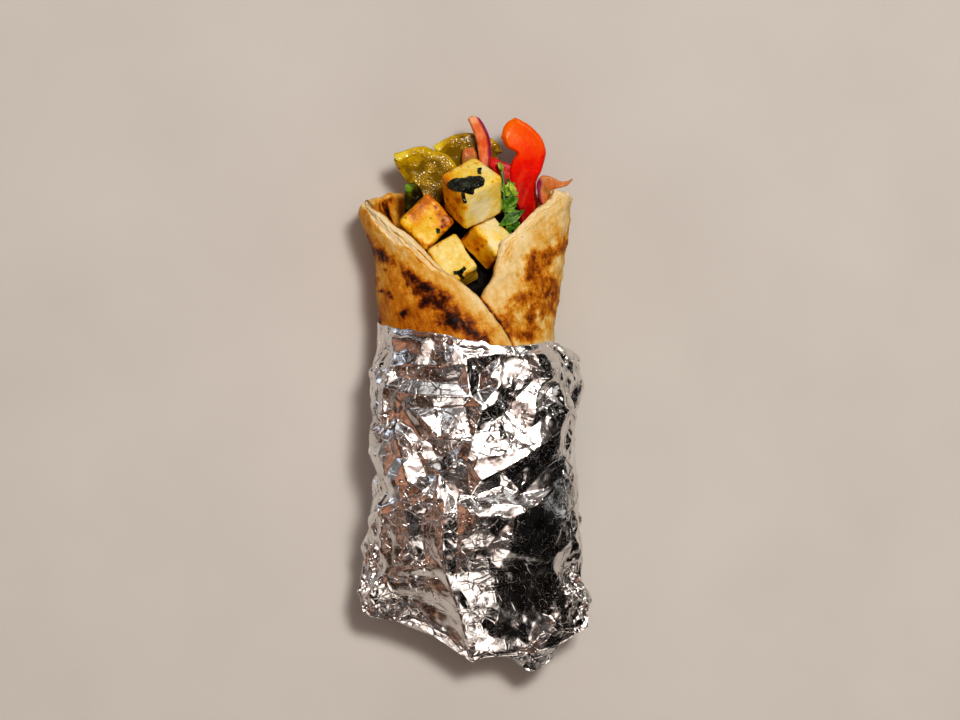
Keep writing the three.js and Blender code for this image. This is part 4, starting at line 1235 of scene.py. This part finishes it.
# Coriander: a stalk with narrow leaves and lobed ones
STALK = Slice(
    left=[(8.1, 115.2), (9.5, 108.7), (9.6, 103.5), (10.4, 96.4)],
    right=[(9.1, 115.4), (10.6, 108.7), (10.7, 103.5), (11.5, 96.4)],
    height=lambda u, v: 28.6 + 0 * u,
    thickness=1.2,
    light=0.4,
    bumps=(0.1, 2, 0.05, 0.8),
)
# Narrow leaves: start, left and right bulge, end, the middle's height and how light each is
NARROW_LEAVES = [
    ((8.1, 114.9), (8.3, 113.2), (9.8, 114.2), (9.9, 111.9), 29.4, 0.9),
    ((11.5, 109.9), (11.3, 107.4), (12.6, 107.6), (12.7, 104.6), 28.8, 0.1),
    ((12.2, 107.8), (12.2, 105.6), (14.5, 105.8), (13.9, 102.7), 29.6, 1.0),
    ((8.4, 92.7), (11.4, 97), (13.9, 93.6), (17.5, 98.4), 31.2, 0.35),
    ((11.6, 94.4), (10.9, 91.6), (13, 91.8), (11.6, 89.2), 30.2, 0.25),
]
# Lobed leaves: stalk end, the direction each grows in, length, the middle's height and how light it is
LOBED_LEAVES = [
    ((11, 103.2), 68, 5.6, 29.2, 0.75),
    ((10, 97.6), 52, 7.2, 30.4, 0.5),
    ((9.9, 98.4), 130, 3.4, 29.8, 0.3),
    ((11.7, 94.2), -28, 5.6, 29.9, 0.25),
]
# The share of a piece's length over which its ends are rounded
END_ROUNDING = 0.06
LEAF_THICKNESS = 0.5
LEAF_SPREAD = 66 * DEGREE
LOBE_TURN = 2.7
VEIN_WIDTH = 0.14
VEIN_DEPTH = 0.14
SLICE_SEED = 400
SEED_STEP = 20
ARM_SEED = 390
NARROW_SEED = 600
LOBED_SEED = 620


def ribbon(spec, along=90, across=40, seed=SLICE_SEED):
    """Points, faces and place values of a slice between two edges."""
    u, v = np.meshgrid(eased(across), eased(along))
    flat = lerp(spline(spec.left, v), spline(spec.right, v), u[..., None])
    flat = flat + (np.sin(np.pi * u) * (1 - v) ** 12)[..., None] * spec.bulge
    middle = np.concatenate([flat, spec.height(u, v)[..., None]], -1)
    near = thinned(u, v, spec.rounding, END_ROUNDING)
    large, large_size, small, small_size = spec.bumps
    relief = large * fractal(flat, large_size, seed) + small * fractal(flat, small_size, seed + 7)
    relief = relief * near
    points, faces = slab(middle, spec.thickness / 2 * near, relief, 0.5 * relief)
    values = both_faces(
        across=u, along=spec.place(v), light=np.full_like(u, spec.light),
        purple=spec.purple(u, v), dull=spec.dull(u, v),
    )
    return points, faces, values


def joined(*parts):
    """Several sets of points, faces and place values as one."""
    points, faces, values = [], [], {}
    start = 0
    for part_points, part_faces, part_values in parts:
        points.append(part_points)
        faces.append(part_faces + start)
        start += len(part_points)
        for key, numbers in part_values.items():
            values.setdefault(key, []).append(numbers)
    values = {key: np.concatenate(numbers) for key, numbers in values.items()}
    return np.concatenate(points), np.concatenate(faces), values


def narrow_leaf(start, left, right, end, height, light, seed):
    """A narrow leaf, folded a little along its middle."""
    spec = Slice(
        left=[start, left, end],
        right=[start, right, end],
        height=lambda u, v: height + 0.5 * np.abs(2 * u - 1) + 0.4 * np.sin(4 * v),
        thickness=LEAF_THICKNESS,
        bumps=(0.12, 1.2, 0.03, 0.5),
        light=light,
    )
    return ribbon(spec, along=40, across=20, seed=seed)


def lobed_leaf(base, angle, length, height, light, seed):
    """A lobed leaf, fanned out from its stalk."""
    u, v = np.meshgrid(np.linspace(0, 1, 80), np.linspace(0, 1, 26))
    way = (2 * u - 1) * LEAF_SPREAD
    lobes = 0.5 + 0.42 * np.abs(np.cos(LOBE_TURN * way)) + 0.14 * np.abs(np.sin(9 * way))
    reach = length * v * lobes * (1 - 0.25 * (way / LEAF_SPREAD) ** 2)
    turn = angle * DEGREE + way
    ripple = 0.5 * np.sin(5 * way) * v + 0.5 * v * lumps(np.stack([way * 4, v * 3], -1), 1, seed)
    x, y = base[0] + reach * np.cos(turn), base[1] + reach * np.sin(turn)
    middle = np.stack([x, y, height + ripple], -1)
    near = thinned(u, v, END_ROUNDING, END_ROUNDING)
    vein = -VEIN_DEPTH * bell(np.sin(LOBE_TURN * way), VEIN_WIDTH)
    points, faces = slab(middle, LEAF_THICKNESS / 2 * near, vein * near)
    none = np.zeros_like(u)
    values = both_faces(across=u, along=v, light=np.full_like(u, light), purple=none, dull=none)
    return points, faces, values


def green_pepper_look():
    look = Look("green_pepper", Specular_IOR_Level=0.4)
    look.flesh(0.35, 2, (1.0, 0.75, 0.1))
    tint = look.total(
        look.noise(5, 4),
        look.span(look.off_half(look.value("across")), 0.3, 0.5, -0.06, 0.14),
        look.span(look.value("along"), 0, 0.7, 0.14, -0.1),
        look.span(look.value("light"), 0, 1, -0.16, 0.16),
    )
    base = look.ramp(tint, (0.3, "#7e6402"), (0.48, "#b69206"), (0.64, "#d6b410"), (0.85, "#ecd640"))
    dark = look.span(look.noise(2.2), 0.64, 0.72)
    look.set("Base Color", look.blend(look.times(dark, 0.7), base, "#4a2006"))
    look.gloss(1.5, 0.1, 0.26)
    wet = look.span(look.noise(5, 2), 0.4, 0.54, 0.06, 1)
    look.bump(look.times(look.cells(0.8)["Distance"], wet), 0.22)
    return look.material


def chilli_look():
    look = Look("green_chilli", Specular_IOR_Level=0.4)
    tint = look.total(
        look.noise(2.2),
        look.span(look.value("along"), 0.14, 0.3, 0.36, -0.06),
        look.span(look.value("across"), 0.4, 0.7, 0, -0.3),
    )
    base = look.ramp(tint, (0.3, "#191702"), (0.52, "#423c06"), (0.7, "#5a7010"), (0.9, "#7cae2a"))
    look.set("Base Color", base)
    look.gloss(1.2, 0.15, 0.35)
    look.bump(look.noise(0.9), 0.25)
    return look.material


def onion_look():
    look = Look("onion", Specular_IOR_Level=0.4)
    look.flesh(0.3, 2, (1.0, 0.5, 0.3))
    fibre = look.noise(0.9, stretch=(1, 6, 8))
    tint = look.total(look.noise(4), look.vary(fibre, 0.12))
    flesh = look.ramp(tint, (0.3, "#e86c30"), (0.5, "#f28c50"), (0.7, "#f9b88c"))
    flesh = look.blend(look.value("dull"), flesh, "#a8742a")
    skin = look.span(look.total(look.value("purple"), look.vary(fibre, 0.14)), 0.2, 0.8)
    purple = look.ramp(tint, (0.35, "#8e1638"), (0.65, "#a42468"))
    look.set("Base Color", look.blend(skin, flesh, purple))
    look.gloss(1.5, 0.16, 0.34)
    look.bump(fibre, 0.14, 0.8)
    return look.material


def red_pepper_look():
    look = Look("red_pepper", Specular_IOR_Level=0.15)
    look.flesh(0.25, 2, (1.0, 0.2, 0.06))
    tint = look.total(look.value("along"), look.vary(look.noise(4), 0.1))
    base = look.ramp(
        tint,
        (0.0, "#ff7400"), (0.3, "#ff4a00"), (0.45, "#f41c00"), (0.7, "#d00a02"), (1.0, "#860302"),
    )
    vein = look.span(look.noise(2.6, 2, stretch=(1, 4, -20)), 0.6, 0.68, 0, 0.12)
    look.set("Base Color", look.blend(vein, base, "#ff8a3c"))
    look.gloss(1.2, 0.16, 0.34)
    look.bump(look.cells(1.3)["Distance"], 0.06, 0.7)
    return look.material


def leaf_look():
    look = Look("coriander", Specular_IOR_Level=0.35)
    look.flesh(0.15, 1, (0.6, 1.0, 0.1))
    tint = look.total(look.noise(2), look.span(look.value("light"), 0, 1, -0.16, 0.34))
    base = look.ramp(tint, (0.3, "#1c3c07"), (0.5, "#40740e"), (0.68, "#74a022"), (0.88, "#c0d458"))
    look.set("Base Color", base)
    look.gloss(1.5, 0.25, 0.45)
    look.bump(look.noise(0.6), 0.15, 0.8)
    return look.material


def vegetables():
    looks = {
        "green_pepper": green_pepper_look(),
        "green_chilli": chilli_look(),
        "onion": onion_look(),
        "red_pepper": red_pepper_look(),
    }
    for number, (name, spec) in enumerate(SLICES.items()):
        kind = next(kind for kind in looks if name.startswith(kind))
        parts = [ribbon(spec, seed=SLICE_SEED + SEED_STEP * number)]
        if name == "red_pepper":
            parts.append(ribbon(PEPPER_ARM, along=40, seed=ARM_SEED))
        points, faces, values = joined(*parts)
        add_piece(name + "_slice", name, points, faces, looks[kind], values)
    leaves = [narrow_leaf(*leaf, seed=NARROW_SEED + k) for k, leaf in enumerate(NARROW_LEAVES)]
    leaves += [lobed_leaf(*leaf, seed=LOBED_SEED + k) for k, leaf in enumerate(LOBED_LEAVES)]
    points, faces, values = joined(ribbon(STALK, along=40, across=12), *leaves)
    add_piece("coriander_sprig", "coriander", points, faces, leaf_look(), values)


# Filling

FILLING_START = -21.4
FILLING_END = 110
FILLING_DOME = 24
FILLING_HEIGHT = profile((-28, 60), (40, 44), (60, 30), (75, 24), (90, 22), (110, 19))
FILLING_FALL = 22
FILLING_SEAT = (5, 9)
FILLING_SEAT_DEPTH = 5
FILLING_LEAST = 0.6
FILLING_GAP = 0.6
FILLING_NARROWING = 0.3
FILLING_MOUTH = (94, 103)
# The Y where the finely divided part starts, and the lines in each part and around
FILLING_FINE = 60
FILLING_LINES = (24, 90)
FILLING_AROUND = 120
FILLING_TIP = 0.3
FILLING_RADIUS = 30
# The height of the filling's axis, as a share of the height it is packed to
FILLING_AXIS = 0.6


def filling_top(x, y):
    """The height that the filling is packed to: a mound that rises to a seat under each cube."""
    across = (x - ROLL_CENTRE(y)) / ROLL_HALF_WIDTH(y)
    top = FILLING_HEIGHT(y) - FILLING_FALL * smoothstep(y, 60, 85) * across**2
    for spec in PANEER.values():
        seat_x, seat_y, middle_z = spec["centre"]
        away = np.hypot(x - seat_x, y - seat_y)
        seat = np.maximum(0, middle_z - FILLING_SEAT_DEPTH - top)
        top = top + seat * falling(away, *FILLING_SEAT)
    return top


def filling_look():
    look = Look("filling", Specular_IOR_Level=0.06)
    # Away from the mouth the filling is painted near black: painted shade for the deep gaps between the
    # pieces
    painted_deep_shade = look.ramp(
        look.noise(5, 4), (0.3, "#060402"), (0.5, "#120b04"), (0.62, "#22160a"), (0.75, "#1c1e08"),
    )
    cells = look.cells(3.4)
    chopped = look.ramp(
        look.total(look.chance(cells), look.vary(look.noise(0.9), 0.12)),
        (0.0, "#5a3410"), (0.25, "#8e5414"), (0.42, "#b07c20"), (0.56, "#7c6a14"), (0.7, "#b44a0e"),
        (0.84, "#cc9634"), (1.0, "#6e480e"),
    )
    # Painted shade in the gaps between the chopped bits
    gap_shade = look.span(cells["Distance"], 0.4, 0.66, 0, 0.75)
    chopped = look.blend(gap_shade, chopped, "#1a0c04")
    look.set("Base Color", look.blend(look.value("mouth"), painted_deep_shade, chopped))
    look.gloss(2, 0.22, 0.5, 3)
    look.bump(look.total(look.noise(1.5, 4), look.times(cells["Distance"], -0.8)), 0.6)
    return look.material


def filling():
    hidden, shown = FILLING_LINES
    turns = np.linspace(0, 2 * np.pi, FILLING_AROUND + 1)[:-1]
    below = np.linspace(FILLING_START, FILLING_FINE, hidden)[:-1]
    turn, y = np.meshgrid(turns, [*below, *np.linspace(FILLING_FINE, FILLING_END - FILLING_TIP, shown)])
    in_dome = np.maximum(0, (y - FILLING_END + FILLING_DOME) / FILLING_DOME)
    swell = np.sqrt(1 - in_dome**2)
    around = np.stack([np.cos(turn) * FILLING_RADIUS, np.sin(turn) * FILLING_RADIUS, y], -1)
    mouth = smoothstep(y, *FILLING_MOUTH)
    lump = 0.8 * (fractal(around, 5, 500) - 1.2) + 1.3 * mouth * np.abs(lumps(around, 3.4, 501))
    core = roll_point(y, turn, -BREAD_THICKNESS - FILLING_GAP + lump)
    centre_z = ROLL_UNDERSIDE(y) + ROLL_HALF_HEIGHT(y)
    least = centre_z - np.abs(core[..., 2] - centre_z) + FILLING_LEAST
    packed = np.maximum(least, np.minimum(core[..., 2], filling_top(core[..., 0], y) + lump))
    core[..., 2] = np.where(core[..., 2] > least, packed, core[..., 2])
    core[..., 0] -= FILLING_NARROWING * smoothstep(y, 72, 90) * (core[..., 0] - ROLL_CENTRE(y))
    middle = np.stack([ROLL_CENTRE(y), y, FILLING_AXIS * FILLING_HEIGHT(y)], -1)
    rings = lerp(middle, core, swell[..., None])
    points, values = rings.reshape(-1, 3), {"mouth": mouth}
    add_piece("filling_core", "filling", points, tube(rings), filling_look(), values)


# Studio

PHOTO_CENTRE = (1.75, 45.5)
FOCUS_HEIGHT = 40
CAMERA_RISE = 1400
LENS = 150
CLIP_END = 50
FLOOR_HALF = 4
# The way to the dark side of the room, and the size of the light patches on the others
DARK_SIDE = (0.85, -0.52, 0)
ROOM_PATCH = 1000 / 2.6
LAMP_TARGET = (0, 30, 25)
# Softboxes: place and size in metres, brightness of the panel, and tint
LAMPS = [
    ("key", (0.35, 0.5, 1.75), (0.42, 0.42), 97, "#fffaf4"),
    ("halo", (0.2, 0.3, 2.0), (2.0, 1.8), 1.3, "#ffe8de"),
    ("copper", (-1.15, -0.25, 1.0), (1.2, 1.4), 0.5, "#f0a274"),
    ("collar", (-0.75, 0.7, 1.3), (0.4, 0.4), 1.5, "#f4f8ff"),
    ("top", (0.1, 1.4, 0.8), (1.8, 0.7), 1.4, "#ffffff"),
    ("front", (0, -1.3, 0.5), (0.65, 1.25), 2.7, "#fff2ea"),
    ("flap", (-0.9, -1.0, 0.5), (0.6, 0.8), 0.45, "#d08a60"),
    ("left_edge", (-1.4, 0.4, 0.3), (0.3, 1.1), 2.4, "#dceaff"),
    ("right_edge", (1.4, -0.2, 0.5), (0.08, 1.4), 1.4, "#ffffff"),
]


def room():
    """Soft warm light from all round, but for one dark side."""
    world = bpy.data.worlds.new("studio")
    world.use_nodes = True
    nodes = Nodes(world.node_tree, "ShaderNodeTexCoord", "Generated")
    dark_way = nodes.vectors("DOT_PRODUCT", {0: nodes.place, 1: DARK_SIDE})["Value"]
    across = nodes.span(dark_way, 0.44, 0.16, 0.004, 0.12, interpolation_type="SMOOTHSTEP")
    patches = nodes.noise(ROOM_PATCH, 1, 0.5)
    strength = nodes.times(across, nodes.span(patches, 0.34, 0.66, 0.06, 1.5))
    tint = nodes.ramp(patches, (0.42, "#c07a4c"), (0.51, "#d4b09a"), (0.62, "#f4f6fa"))
    background = world.node_tree.nodes["Background"]
    nodes.feed(background.inputs["Color"], tint)
    nodes.feed(background.inputs["Strength"], strength)
    bpy.context.scene.world = world


def soften(light):
    """Makes a softbox bright in its middle and dim at its edges."""
    light.use_nodes = True
    nodes = Nodes(light.node_tree, "ShaderNodeNewGeometry", "Parametric")
    from_middle = nodes.vectors("DISTANCE", {0: nodes.place, 1: (0.5, 0.5, 0)})["Value"]
    fall = nodes.span(from_middle, 0.05, 0.55, 1, 0.05, interpolation_type="SMOOTHSTEP")
    nodes.feed(light.node_tree.nodes["Emission"].inputs["Strength"], fall)


def studio():
    corners = [(x * FLOOR_HALF, y * FLOOR_HALF, 0) for x, y in ((-1, -1), (1, -1), (1, 1), (-1, 1))]
    floor_mesh = bpy.data.meshes.new("floor")
    floor_mesh.from_pydata(corners, [], [(0, 1, 2, 3)])
    look = Look("floor", Roughness=0.8)
    look.set("Base Color", look.ramp(look.noise(60, 2), (0.3, "#cdc9c3"), (0.7, "#d2cec8")))
    floor_mesh.materials.append(look.material)
    floor = bpy.data.objects.new("floor", floor_mesh)
    bpy.context.scene.collection.objects.link(floor)

    camera = bpy.data.objects.new("camera", bpy.data.cameras.new("camera"))
    camera.data.lens = LENS
    camera.data.clip_end = CLIP_END
    camera.location = [c * MM for c in (*PHOTO_CENTRE, FOCUS_HEIGHT + CAMERA_RISE)]
    bpy.context.scene.collection.objects.link(camera)
    bpy.context.scene.camera = camera

    room()
    bpy.context.scene.view_settings.view_transform = "Standard"
    bpy.context.scene.view_settings.look = "Medium High Contrast"

    target = Vector(LAMP_TARGET) * MM
    for name, place, size, brightness, tint in LAMPS:
        data = bpy.data.lights.new(name, "AREA")
        data.shape = "RECTANGLE"
        data.size, data.size_y = size
        data.energy = brightness * math.pi * size[0] * size[1]
        data.color = colour(tint)[:3]
        soften(data)
        lamp = bpy.data.objects.new(name, data)
        lamp.location = place
        lamp.rotation_euler = (target - lamp.location).to_track_quat("-Z", "Y").to_euler()
        bpy.context.scene.collection.objects.link(lamp)


studio()
bread()
foil()
paneer_material, herb_material = paneer_look(), herb_look()
for cube_name, cube_spec in PANEER.items():
    paneer(cube_name, cube_spec, paneer_material, herb_material)
vegetables()
filling()
